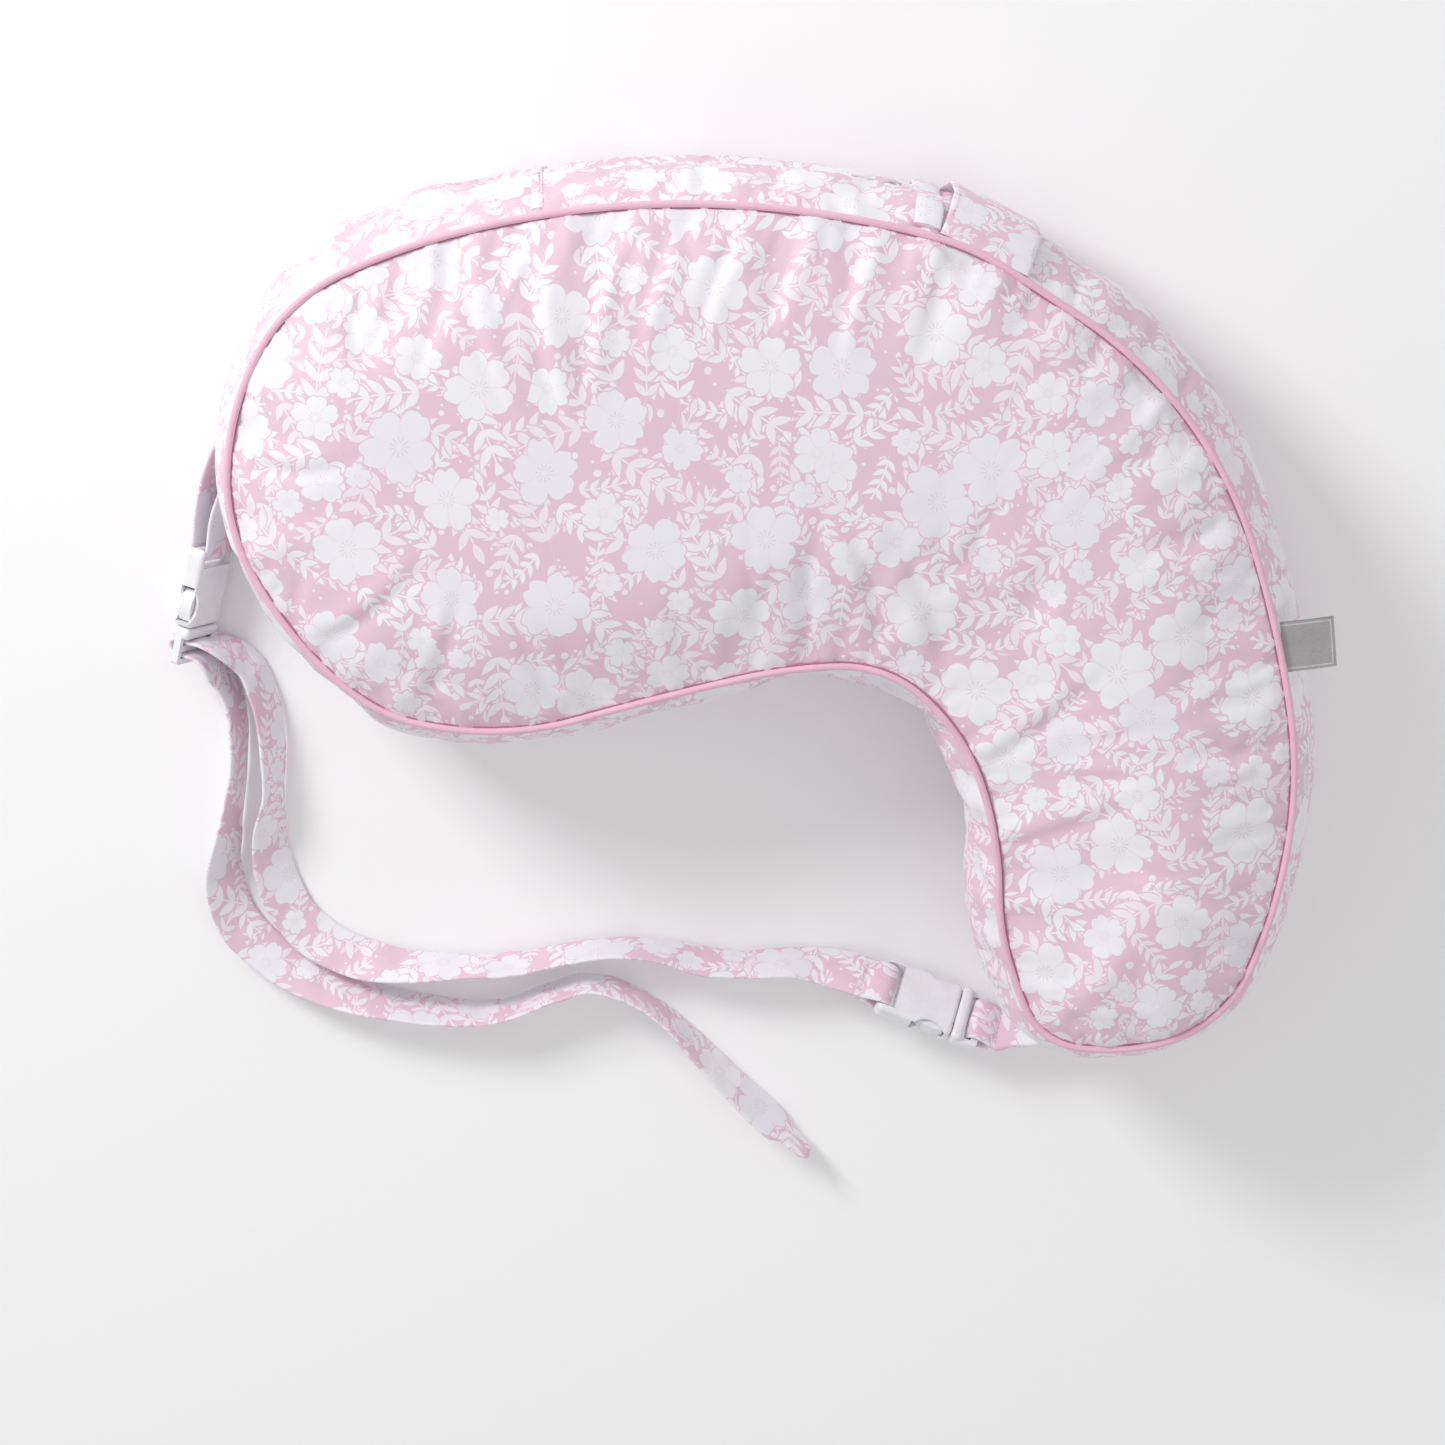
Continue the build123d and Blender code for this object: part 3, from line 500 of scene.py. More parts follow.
def zip_share(points, room=0.0):
    """1 along the zipped stretch of the wall and as far as room past its left end, fading to 0 beyond."""
    angle = np.arctan2(points[:, 1] - ZIP_CENTRE[1], points[:, 0] - ZIP_CENTRE[0])
    fade = 6.0 / ZIP_RADIUS
    left = ZIP_LEFT + room / ZIP_RADIUS
    inside = smooth_step(angle, ZIP_RIGHT - fade, ZIP_RIGHT)
    inside *= 1 - smooth_step(angle, left, left + fade * (1 + room / 9))
    return inside * (points[:, 1] > 100)


def wall_rows():
    """Heights of the side wall's rows, closer together at the two lips of the zip."""
    lips = [ZIP_GROOVE + 1.4, ZIP_GROOVE + 0.5, ZIP_GROOVE, ZIP_GROOVE - 0.6]
    above = np.linspace(TOP_SEAM, ZIP_Z + ZIP_GROOVE + 3.5, 17)
    below = np.linspace(ZIP_Z - ZIP_GROOVE - 3.5, BOTTOM_SEAM, 13)
    middle = [ZIP_Z + d for d in lips] + [ZIP_Z] + [ZIP_Z - d for d in reversed(lips)]
    return np.concatenate((above, middle, below))


def wall_offset(points, normals, z):
    """How far each outline point's wall stands outside the seam outline at height z."""
    share = (TOP_SEAM - z) / (TOP_SEAM - BOTTOM_SEAM)
    swell = 11.5 + 3.0 * np.abs(normals[:, 1])
    swell -= 5.0 * smooth_step(-normals[:, 0], 0.3, 0.9) * (points[:, 0] < -150)
    offset = 0.4 + 3.6 * share + swell * np.sin(pi * share) ** 0.72
    flat = zip_share(points, PULL_ROOM) * smooth_step(-abs(z - ZIP_Z), -17.0, -8.0)
    groove = zip_share(points) if abs(z - ZIP_Z) < ZIP_GROOVE + 0.1 else 0.0
    wall = WALL_OFFSET + 0.6 - groove * (ZIP_DEPTH + 1.2)
    return offset * (1 - flat) + wall * flat


def build_cover(material):
    """The whole cover as one closed, stuffed form, its panels joined at the two seams."""
    points, normals, at, total = seam_line(RING_PITCH)
    dense = seam_line(1.5)[0]
    count = len(points)
    heights = wall_rows()
    rings = [np.c_[points + normals * wall_offset(points, normals, z)[:, None], np.full(count, z)]
             for z in heights]
    verts = list(np.concatenate(rings))
    faces, corners = [], []
    for row in range(len(heights) - 1):
        for i in range(count):
            j = (i + 1) % count
            faces.append((row * count + i, row * count + j, (row + 1) * count + j, (row + 1) * count + i))
            s0, s1 = at[i], at[i] + total / count
            z0, z1 = heights[row], heights[row + 1]
            corners += [(s0, z0), (s1, z0), (s1, z1), (s0, z1)]

    rim = rings[0][:, :2]
    flat, triangles = fill_outline(rim, PANEL_PITCH, dense)
    gap = distance_to(flat[count:], dense)
    level = 1 - np.clip(gap / CROWN_REACH, 0, 1)
    lift = CROWN * (1 - level ** 2.6) - 0.9 * np.exp(-(gap / 1.8) ** 2)
    first = len(verts)
    verts += list(np.c_[flat[count:], TOP_SEAM + lift])
    for triangle in triangles:
        ids = [i if i < count else first + i - count for i in triangle]
        faces.append(ids)
        corners += [flat[i] + (900, 0) for i in triangle]

    rim = rings[-1][:, :2]
    flat, triangles = fill_outline(rim, BASE_PITCH, dense)
    gap = distance_to(flat[count:], rim)
    sink = BOTTOM_SEAM * (1 - np.clip(gap / 24, 0, 1)) ** 2
    base_first, last = len(verts), (len(heights) - 1) * count
    verts += list(np.c_[flat[count:], np.maximum(sink, 0.05)])
    for triangle in triangles:
        ids = [last + i if i < count else base_first + i - count for i in triangle]
        faces.append(ids[::-1])
        corners += [flat[i] + (900, 900) for i in triangle[::-1]]

    cover = new_object("cover", np.array(verts) * MM, faces, [material])
    add_uv(cover, np.array(corners) * MM)
    return cover, count, len(heights), first, base_first


def relax_cover(cover, pinned):
    """Inflate the cover a little so that it swells and wrinkles between its seams."""
    start = np.array([v.co for v in cover.data.vertices])
    group = cover.vertex_groups.new(name="pinned")
    for i, weight in enumerate(pinned):
        if weight > 0.01:
            group.add([i], float(weight), "REPLACE")
    cloth = cover.modifiers.new("Cloth", "CLOTH")
    settings = cloth.settings
    settings.quality = 6
    settings.mass = 0.2
    settings.tension_stiffness = settings.compression_stiffness = 25
    settings.shear_stiffness = 12
    settings.bending_stiffness = 0.15
    settings.use_pressure = True
    settings.uniform_pressure_force = 4.0
    settings.shrink_min = -0.025
    settings.vertex_group_mass = "pinned"
    settings.effector_weights.gravity = 0
    cloth.collision_settings.use_collision = False
    scene = bpy.context.scene
    for step in range(1, CLOTH_FRAMES + 1):
        scene.frame_set(step)
    graph = bpy.context.evaluated_depsgraph_get()
    moved = np.array([v.co for v in cover.evaluated_get(graph).data.vertices])
    cover.modifiers.remove(cloth)
    scene.frame_set(1)
    shift = moved - start
    length = np.linalg.norm(shift, axis=1)
    cap = CLOTH_CAP * MM
    shift *= (cap * np.tanh(length / cap) / np.maximum(length, 1e-9))[:, None]
    cover.data.vertices.foreach_set("co", (start + shift).ravel())
    cover.data.update()


CREASE_DEPTH = 1.5          # times the depths in the list below
# Creases on the top: from x, y to x, y, with half width and depth in millimetres.
CREASES = [
    (-120, 196, -104, 118, 7, 2.2), (-84, 192, -92, 128, 6, 1.6), (-52, 205, -66, 150, 7, 1.6),
    (-150, 176, -128, 120, 6, 1.4), (-20, 203, -34, 156, 6, 1.3), (16, 208, 2, 160, 6, 1.4),
    (48, 202, 36, 150, 6, 1.2), (92, -8, 62, 62, 9, 2.0), (58, 4, 40, 66, 7, 1.5),
    (118, -66, 176, -10, 8, 1.6), (126, -112, 196, -80, 7, 1.4), (20, -8, 16, 52, 7, 1.2),
    (-176, -28, -158, 30, 7, 1.3), (-222, 4, -176, 44, 7, 1.4), (228, 60, 186, 42, 8, 1.3),
    (262, -60, 214, -62, 8, 1.5), (250, -150, 208, -132, 7, 1.4), (-258, 92, -212, 96, 7, 1.2),
]


def waves(at, seed, shortest, longest, total):
    """Uneven waves along the closed seam, from about -1 to 1, that come and go."""
    rng = np.random.default_rng(seed)
    height = np.zeros(len(at))
    for _ in range(10):
        turns = round(total / rng.uniform(shortest, longest))
        slow = rng.integers(2, 9)
        height += (np.sin(at / total * tau * turns + rng.uniform(0, tau))
                   * (0.5 + 0.5 * np.sin(at / total * tau * slow + rng.uniform(0, tau))))
    return height / 2.6


def crease_cover(cover, top_first, base_first):
    """Puckers beside the seams, gathers in the side wall, and the long soft creases of the top."""
    co = np.array([v.co for v in cover.data.vertices]) / MM
    normal = np.array([v.normal for v in cover.data.vertices])
    line, outward, at, total = seam_line(RING_PITCH)
    near = np.concatenate([((part[:, None, :2] - line) ** 2).sum(2).argmin(1)
                           for part in np.array_split(co, 60)])
    away = co[:, :2] - line[near]
    gap = np.hypot(*away.T)
    along = at[near] + (away * np.stack((outward[near, 1], -outward[near, 0]), 1)).sum(1)
    lift = np.zeros(len(co))
    top = np.arange(len(co)) >= top_first
    top &= np.arange(len(co)) < base_first
    held = 1 - np.exp(-(gap / 3.0) ** 2)
    back = 0.55 + 0.45 * smooth_step(line[near, 1], 60, 170)
    lift += top * held * back * (1.3 * waves(along, 5, 11, 19, total) * np.exp(-gap / 9)
                                 + 2.3 * waves(along, 6, 26, 52, total) * np.exp(-gap / 26))
    for x0, y0, x1, y1, width, depth in CREASES:
        start, way = np.array((x0, y0)), np.array((x1 - x0, y1 - y0), float)
        length = np.hypot(*way)
        way /= length
        u = ((co[:, :2] - start) @ way) / length
        v = (co[:, :2] - start) @ np.array((-way[1], way[0])) + 3.0 * np.sin(u * 3.0)
        fade = smooth_step(u, -0.25, 0.15) * (1 - smooth_step(u, 0.55, 1.15))
        shape = 0.8 * np.exp(-((v - width * 0.9) / width) ** 2) - np.exp(-(v / (width * 0.6)) ** 2)
        lift += top * held * fade * shape * depth * CREASE_DEPTH
    wall = np.arange(len(co)) < top_first
    from_top = smooth_step(TOP_SEAM - co[:, 2], 0, 5) * np.exp(-(TOP_SEAM - co[:, 2]) / 26)
    from_base = smooth_step(co[:, 2] - BOTTOM_SEAM, 0, 5) * np.exp(-(co[:, 2] - BOTTOM_SEAM) / 22)
    calm = 1 - zip_share(line[near], PULL_ROOM) * (1 - smooth_step(np.abs(co[:, 2] - ZIP_Z), 12, 26))
    lift += wall * calm * 1.5 * (waves(along + 0.15 * co[:, 2], 7, 14, 34, total) * from_top
                                 + waves(along, 8, 14, 30, total) * from_base)
    lift += wall * calm * 0.9 * waves(along + 0.4 * co[:, 2], 9, 50, 90, total) * np.sin(
        pi * np.clip((co[:, 2] - BOTTOM_SEAM) / (TOP_SEAM - BOTTOM_SEAM), 0, 1))
    cover.data.vertices.foreach_set("co", ((co + normal * lift[:, None]) * MM).ravel())
    cover.data.update()


# ---- straps ----------------------------------------------------------------------
def smooth_rows(rows, pitch):
    """Evenly spaced rows along a smooth curve through given rows of numbers."""
    rows = np.array(rows, float)
    padded = np.concatenate((2 * rows[:1] - rows[1:2], rows, 2 * rows[-1:] - rows[-2:-1]))
    dense = []
    for a, b, c, d in zip(padded, padded[1:], padded[2:], padded[3:]):
        gaps = [max(np.linalg.norm((q - p)[:3]) ** 0.5, 1e-6) for p, q in ((a, b), (b, c), (c, d))]
        t0, t1, t2, t3 = np.cumsum([0] + gaps)
        for t in np.linspace(t1, t2, 24, endpoint=False):
            ab = (a * (t1 - t) + b * (t - t0)) / (t1 - t0)
            bc = (b * (t2 - t) + c * (t - t1)) / (t2 - t1)
            cd = (c * (t3 - t) + d * (t - t2)) / (t3 - t2)
            abc = (ab * (t2 - t) + bc * (t - t0)) / (t2 - t0)
            bcd = (bc * (t3 - t) + cd * (t - t1)) / (t3 - t1)
            dense.append((abc * (t2 - t) + bcd * (t - t1)) / (t2 - t1))
    dense = np.array(dense + [rows[-1]])
    lengths = np.concatenate(([0], np.cumsum(np.linalg.norm(np.diff(dense[:, :3], axis=0), axis=1))))
    count = max(int(round(lengths[-1] / pitch)), 2)
    at = np.linspace(0, lengths[-1], count + 1)
    return np.stack([np.interp(at, lengths, column) for column in dense.T], 1), at


def ripple(along, across, seed, pitch):
    """Soft creases, from -1 to 1, over a strap: along and across are in millimetres."""
    rng = np.random.default_rng(seed)
    total = np.zeros(np.broadcast(along, across).shape)
    for _ in range(7):
        length = pitch * rng.uniform(0.6, 2.2)
        lean = rng.uniform(-0.9, 0.9)
        phase = rng.uniform(0, tau)
        swell = np.sin(along / (length * rng.uniform(2, 5)) + rng.uniform(0, tau))
        total += np.sin((along + lean * across) * tau / length + phase) * swell
    return total / 3.5


def ribbon(name, rows, width, thickness, material, seed=1, crease=0.5, puff=0.5, pitch=2.0,
           uv_at=(0.0, 0.0), ends=(False, False), widths=None, flatten=None):
    """Strap along rows of x, y, z and the direction across it; closed, with soft rounded edges.

    ends says which ends are drawn in to a soft fold. widths is a list of (share of length, share of width).
    flatten is the height that no point goes below.
    """
    rows, at = smooth_rows(rows, pitch)
    points, across = rows[:, :3], rows[:, 3:6]
    tangent = np.gradient(points, axis=0)
    tangent /= np.linalg.norm(tangent, axis=1)[:, None]
    across = across - (across * tangent).sum(1)[:, None] * tangent
    across /= np.linalg.norm(across, axis=1)[:, None]
    face = np.cross(tangent, across)
    total = at[-1]
    breadth = np.full(len(at), width / 2)
    if widths:
        breadth *= np.interp(at / total, *np.array(widths).T)
    fat = np.full(len(at), thickness / 2)
    for end, drawn in enumerate(ends):
        if drawn:
            gap = at if end == 0 else total - at
            breadth *= 1 - 0.10 * np.exp(-(gap / 1.6) ** 2)
            fat *= 1 - 0.45 * np.exp(-(gap / 1.2) ** 2)
    half = np.array([-1.0, -0.985, -0.93, -0.8, -0.6, -0.4, -0.2, 0, 0.2, 0.4, 0.6, 0.8, 0.93, 0.985, 1.0])
    bulge = np.array([0.0, 0.55, 0.82, 0.93, 0.97, 1, 1, 1, 1, 1, 0.97, 0.93, 0.82, 0.55, 0.0])
    bulge = bulge * (1 + puff * (1 - half ** 2))
    ring_v = np.concatenate((half, half[-2:0:-1]))
    ring_h = np.concatenate((bulge, -bulge[-2:0:-1]))
    size = len(ring_v)
    v = breadth[:, None] * ring_v
    relief = ripple(at[:, None], v, seed, 17.0) * crease * (0.35 + 0.65 * (1 - ring_v ** 2))
    edge_wave = ripple(at[:, None], np.zeros_like(v), seed + 5, 30.0)
    edge_wave = edge_wave * crease * 0.8 * ring_v ** 2 * np.sign(ring_v)
    h = fat[:, None] * ring_h + relief
    verts = points[:, None] + across[:, None] * (v + edge_wave)[..., None] + face[:, None] * h[..., None]
    if flatten is not None:
        verts[..., 2] = np.maximum(verts[..., 2], flatten)
    verts = verts.reshape(-1, 3)
    faces, corners = [], []
    stretch = np.hypot(np.diff(ring_v) * width / 2, np.diff(ring_h) * thickness / 2)
    girth = np.concatenate(([0], np.cumsum(stretch)))
    girth = np.append(girth, 2 * girth[len(half) - 1])
    for i in range(len(at) - 1):
        for j in range(size):
            k = (j + 1) % size
            faces.append((i * size + j, i * size + k, (i + 1) * size + k, (i + 1) * size + j))
            corners += [(at[m], girth[n]) for m, n in ((i, j), (i, j + 1), (i + 1, j + 1), (i + 1, j))]
    last = (len(at) - 1) * size
    for start, flip in ((0, True), (last, False)):
        for j in range(len(half) - 1):
            k = (size - j) % size
            quad = [start + j, start + j + 1, start + (size - j - 1) % size, start + k]
            quad = list(dict.fromkeys(quad))
            faces.append(quad[::-1] if flip else quad)
            corners += [(at[0 if start == 0 else -1], width * (q - start) / size) for q in faces[-1]]
    obj = new_object(name, verts * MM, faces, [material])
    add_uv(obj, (np.array(corners) + uv_at) * MM)
    ring = set(range(size)), set(range(last, last + size))
    for edge in obj.data.edges:
        pair = set(edge.vertices)
        if any(pair <= r for r in ring):
            edge.use_edge_sharp = True
    return obj, total


def floor_rows(points):
    """Rows for a strap that stands on the floor: x, y and tilt, where 90 is on edge and 180 lies flat."""
    points = np.array(points, float)
    ways = np.gradient(points[:, :2], axis=0)
    ways /= np.hypot(*ways.T)[:, None]
    tilt = np.radians(points[:, 2])
    left = np.stack((-ways[:, 1], ways[:, 0]), 1)
    height = STRAP_WIDTH / 2 * np.abs(np.sin(tilt)) + STRAP_LIFT
    return [(x, y, h, nx * cos(t), ny * cos(t), sin(t))
            for (x, y, _), h, (nx, ny), t in zip(points, height, left, tilt)]


class Place:
    """A buckle's own frame: its origin, its long axis, the way across it and its face."""

    def __init__(self, spot, heading, tilt):
        turn, lean = radians(heading), radians(tilt)
        self.x = np.array((cos(turn), sin(turn), 0))
        side = np.array((-sin(turn), cos(turn), 0))
        up = np.array((0, 0, 1.0))
        self.z = side * sin(lean) + up * cos(lean)
        self.y = np.cross(self.z, self.x)
        height = BUCKLE_WIDTH / 2 * sin(lean) + BUCKLE_THICKNESS / 2 * cos(lean) + FLOOR_GAP
        self.origin = np.array((*spot, height))

    def at(self, x, y=0.0, z=0.0):
        return self.origin + self.x * x + self.y * y + self.z * z

    def row(self, x, z):
        return (*self.at(x, 0, z), *(-self.y))


def tube(name, points, normals, radius, material, sides=12):
    """Closed ring of cord along points in millimetres, its section turned to the normals."""
    count = len(points)
    turn = np.linspace(0, tau, sides, endpoint=False)
    up = np.array((0, 0, 1.0))
    ring = (normals[:, None] * np.cos(turn)[None, :, None] + up * np.sin(turn)[None, :, None]) * radius
    verts = (points[:, None] + ring).reshape(-1, 3)
    step = np.linalg.norm(np.roll(points, -1, 0) - points, axis=1)
    at = np.concatenate(([0], np.cumsum(step)))
    faces, corners = [], []
    for i in range(count):
        n = (i + 1) % count
        for j in range(sides):
            k = (j + 1) % sides
            faces.append((i * sides + j, i * sides + k, n * sides + k, n * sides + j))
            g0, g1 = [tau * radius * (j + d) / sides for d in (0, 1)]
            corners += [(at[i], g0), (at[i], g1), (at[i + 1], g1), (at[i + 1], g0)]
    obj = new_object(name, verts * MM, faces, [material])
    add_uv(obj, np.array(corners) * MM)
    return obj


# ---- materials ------------------------------------------------------------------
def cotton_material(name, colour, dark, pitch, strength=0.5, twill=False):
    """Plain dyed cotton, woven square or as twill, with random blotches of tone and painted shade that makes
    it a little darker in its furrows.
    """
    material, g, shader = new_material(name)
    uv = g.node("ShaderNodeUVMap", uv_map="cloth").outputs[0]
    blotch = g.noise(uv, 60.0, 3.0)
    fibre = g.noise(g.vector("MULTIPLY", uv, (300.0, 1500.0, 1.0)), 1.0, 2.0)
    # Random blotches give real tone; the fibre streaks also sink in the bump below, so their darker colour is
    # painted shade in the furrows.
    share = g.add(g.mul(blotch, 0.5), g.mul(fibre, 0.5))
    g.set(shader.inputs["Base Color"], g.mix(g.step(share, 0.5, 0.22), dark, colour))
    g.set(shader.inputs["Roughness"], g.add(0.62, g.mul(blotch, 0.2)))
    shader.inputs["Sheen Weight"].default_value = 0.15
    shader.inputs["Sheen Roughness"].default_value = 0.5
    x, y, _ = g.split(uv)
    if twill:
        rows = g.math("SINE", g.mul(g.add(x, y), tau / pitch))
        height = g.mul(rows, 0.06 * MM)
    else:
        rows = g.add(g.math("SINE", g.mul(x, tau / pitch)), g.math("SINE", g.mul(y, tau / pitch)))
        height = g.mul(rows, 0.04 * MM)
    height = g.add(height, g.mul(fibre, 0.08 * MM))
    g.set(shader.inputs["Normal"], g.bump(strength, height))
    return material


def plastic_material(name, colour, roughness, glow=0.0):
    """Moulded plastic: faint flow marks, fine pebbling and a slightly uneven gloss."""
    material, g, shader = new_material(name)
    at = g.node("ShaderNodeTexCoord").outputs["Object"]
    flow = g.noise(at, 90.0, 3.0)
    grain = g.noise(at, 2600.0, 2.0)
    darker = [c * 0.93 for c in colour[:3]] + [1.0]
    g.set(shader.inputs["Base Color"], g.mix(g.step(flow, 0.5, 0.25), darker, colour))
    g.set(shader.inputs["Roughness"], g.add(roughness, g.mul(g.sub(grain, 0.5), 0.12)))
    shader.inputs["Subsurface Weight"].default_value = glow
    shader.inputs["Subsurface Scale"].default_value = 0.003
    shader.inputs["IOR"].default_value = 1.49
    height = g.add(g.mul(grain, 0.015 * MM), g.mul(flow, 0.15 * MM))
    g.set(shader.inputs["Normal"], g.bump(0.35, height))
    return material


def metal_material(name, colour, roughness):
    """Lacquered metal with small tumbling marks."""
    material, g, shader = new_material(name)
    at = g.node("ShaderNodeTexCoord").outputs["Object"]
    marks = g.noise(g.vector("MULTIPLY", at, (1.0, 1.0, 0.3)), 500.0, 2.0)
    worn = [c * 0.9 for c in colour[:3]] + [1.0]
    g.set(shader.inputs["Base Color"], g.mix(g.step(marks, 0.5, 0.2), worn, colour))
    g.set(shader.inputs["Roughness"], g.add(roughness, g.mul(g.sub(marks, 0.5), 0.1)))
    shader.inputs["Metallic"].default_value = 0.35
    shader.inputs["Coat Weight"].default_value = 0.5
    shader.inputs["Coat Roughness"].default_value = 0.15
    g.set(shader.inputs["Normal"], g.bump(0.15, g.mul(marks, 0.02 * MM)))
    return material


floral = floral_group()
cover_print = print_material("cover_print", floral)
strap_print = print_material("strap_print", floral)
piping_cotton = cotton_material("piping_cotton", srgb(242, 198, 215), srgb(234, 184, 204), 0.5 * MM)
# Dark pink of the thin cord laid inside the top piping: painted shade standing in for the shadow in the
# seam's crease, not a thread.
seam_shadow_paint = cotton_material("seam_shadow_paint", srgb(205, 140, 162), srgb(186, 118, 142), 0.4 * MM)
tape_cotton = cotton_material("tape_cotton", srgb(240, 200, 216), srgb(228, 184, 203), 0.8 * MM, 0.7, True)
label_twill = cotton_material("label_twill", srgb(176, 174, 174), srgb(158, 156, 156), 0.7 * MM, 0.6, True)
label_edge = cotton_material("label_edge", srgb(214, 212, 212), srgb(190, 188, 188), 0.6 * MM, 0.6, True)
casing_cotton = cotton_material("casing_cotton", srgb(245, 245, 242), srgb(232, 232, 228), 0.7 * MM)
buckle_plastic = plastic_material("buckle_plastic", srgb(241, 241, 245), 0.2, 0.05)
zip_plastic = plastic_material("zip_plastic", srgb(238, 236, 242), 0.3, 0.05)
zip_metal = metal_material("zip_metal", srgb(214, 211, 217), 0.3)

# ---- camera ---------------------------------------------------------------------
CAMERA_TARGET = Vector((-0.0225, -0.0449, 0.112))
CAMERA_TILT = radians(15)
CAMERA_DISTANCE = 2.3
camera_data = bpy.data.cameras.new("camera")
camera_data.lens, camera_data.sensor_width = 110.2, 36
camera_data.clip_end = 20
camera = bpy.data.objects.new("camera", camera_data)
camera.location = CAMERA_TARGET + Vector((0, sin(CAMERA_TILT), cos(CAMERA_TILT))) * CAMERA_DISTANCE
camera.rotation_euler = (-CAMERA_TILT, 0, 0)
bpy.context.scene.collection.objects.link(camera)
bpy.context.scene.camera = camera

# ---- cover ------------------------------------------------------------------------
cover, ring_count, row_count, top_first, base_first = build_cover(cover_print)
count = len(cover.data.vertices)
pinned = np.zeros(count)
seams, normals, _, _ = seam_line(RING_PITCH)
heights = wall_rows()
zipped = zip_share(seams, PULL_ROOM)
for row, z in enumerate(heights):
    ring = slice(row * ring_count, (row + 1) * ring_count)
    pinned[ring] = np.maximum(zipped * (1 - smooth_step(abs(z - ZIP_Z), 9, 20)), 0)
    if row in (0, row_count - 1):
        pinned[ring] = 1
base = np.array([v.co.z for v in cover.data.vertices])
pinned[base < 0.002] = 1
relax_cover(cover, pinned)
crease_cover(cover, top_first, base_first)
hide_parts("cover_top_panel", "cover_bottom_panel", "boxing_front", "boxing_zip_upper",
            "boxing_zip_lower")
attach(cover, "root")

for name, z, slot_radius in (("piping_top", TOP_SEAM, 0.8), ("piping_bottom", BOTTOM_SEAM, 0.2)):
    offset = wall_offset(seams, normals, z)[:, None] + 0.9
    line = np.c_[seams + normals * offset, np.full(len(seams), z + slot_radius)]
    outward = np.c_[normals, np.zeros(len(normals))]
    piping = tube(name + "_cord", line, outward, PIPING_RADIUS, piping_cotton)
    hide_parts(name)
    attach(piping, "root")

# ---- stitches ---------------------------------------------------------------------
def stitches(name, points, facing, body, length=2.6, gap=1.0, radius=0.28):
    """Row of thread stitches along points, lying on a surface that faces the given way."""
    rows = np.c_[np.array(points, float), np.broadcast_to(np.array(facing, float), (len(points), 3))]
    line, at = smooth_rows(rows, 0.5)
    verts, faces, corners = [], [], []
    for start in np.arange(gap, at[-1] - length, length + gap):
        spots = np.array([[np.interp(start + length * t, at, line[:, i]) for i in range(6)]
                          for t in (0, 0.12, 0.5, 0.88, 1)])
        way = spots[-1, :3] - spots[0, :3]
        way /= np.linalg.norm(way)
        for spot, girth, lift in zip(spots, (0.3, 0.85, 1.0, 0.85, 0.3), (-0.3, 0.3, 0.6, 0.3, -0.3)):
            up = spot[3:] / np.linalg.norm(spot[3:])
            side = np.cross(way, up)
            for a in np.linspace(0, tau, 6, endpoint=False):
                verts.append(spot[:3] + (side * cos(a) + up * (sin(a) + lift)) * radius * girth)
        first = len(verts) - 30
        for ring in range(4):
            for j in range(6):
                k = (j + 1) % 6
                faces.append([first + ring * 6 + j, first + ring * 6 + k,
                              first + ring * 6 + 6 + k, first + ring * 6 + 6 + j])
        faces += [[first + j for j in range(5, -1, -1)], [first + 24 + j for j in range(6)]]
    obj = new_object(name, np.array(verts) * MM, faces, [thread])
    add_uv(obj, [tuple(obj.data.vertices[i].co.xy) for f in obj.data.polygons for i in f.vertices])
    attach(obj, body)
    return obj


thread = cotton_material("thread", srgb(246, 226, 236), srgb(228, 190, 208), 0.3 * MM)

# ---- inner pillow -----------------------------------------------------------------
def build_inner():
    """The stuffed inner pillow, inside the cover: rings round the outline, closed above and below."""
    points, outward, _, _ = seam_line(9.0)
    # Height of each ring and how far it stands outside the seam outline.
    levels = [(8, -26), (7, -12), (12, -3), (28, 1.5), (60, 2.5), (90, 0.5), (102, -5), (109, -15),
              (112, -30)]
    size = len(points)
    verts = np.concatenate([np.c_[points + outward * inset, np.full(size, z)] for z, inset in levels])
    faces = []
    for row in range(len(levels) - 1):
        for i in range(size):
            j = (i + 1) % size
            faces.append((row * size + i, (row + 1) * size + i, (row + 1) * size + j, row * size + j))
    caps = []
    for row, lift in ((0, 0.0), (len(levels) - 1, 3.0)):
        rim = verts[row * size:(row + 1) * size, :2]
        flat, triangles = fill_outline(rim, 14.0, rim)
        first = len(verts) + sum(len(c) for c in caps)
        gap = distance_to(flat[size:], rim)
        caps.append(np.c_[flat[size:], levels[row][0] + lift * (1 - np.exp(-gap / 25))])
        for triangle in triangles:
            ids = [row * size + i if i < size else first + i - size for i in triangle]
            faces.append(ids if row else ids[::-1])
    inner = new_object("inner_pillow", np.concatenate([verts, *caps]) * MM, faces, [casing_cotton])
    add_uv(inner, [tuple(inner.data.vertices[i].co.xy) for f in inner.data.polygons for i in f.vertices])
    return inner


inner = build_inner()
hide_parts("inner_casing", "fibre_fill_top", "foam_core", "fibre_fill_bottom")
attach(inner, "root")

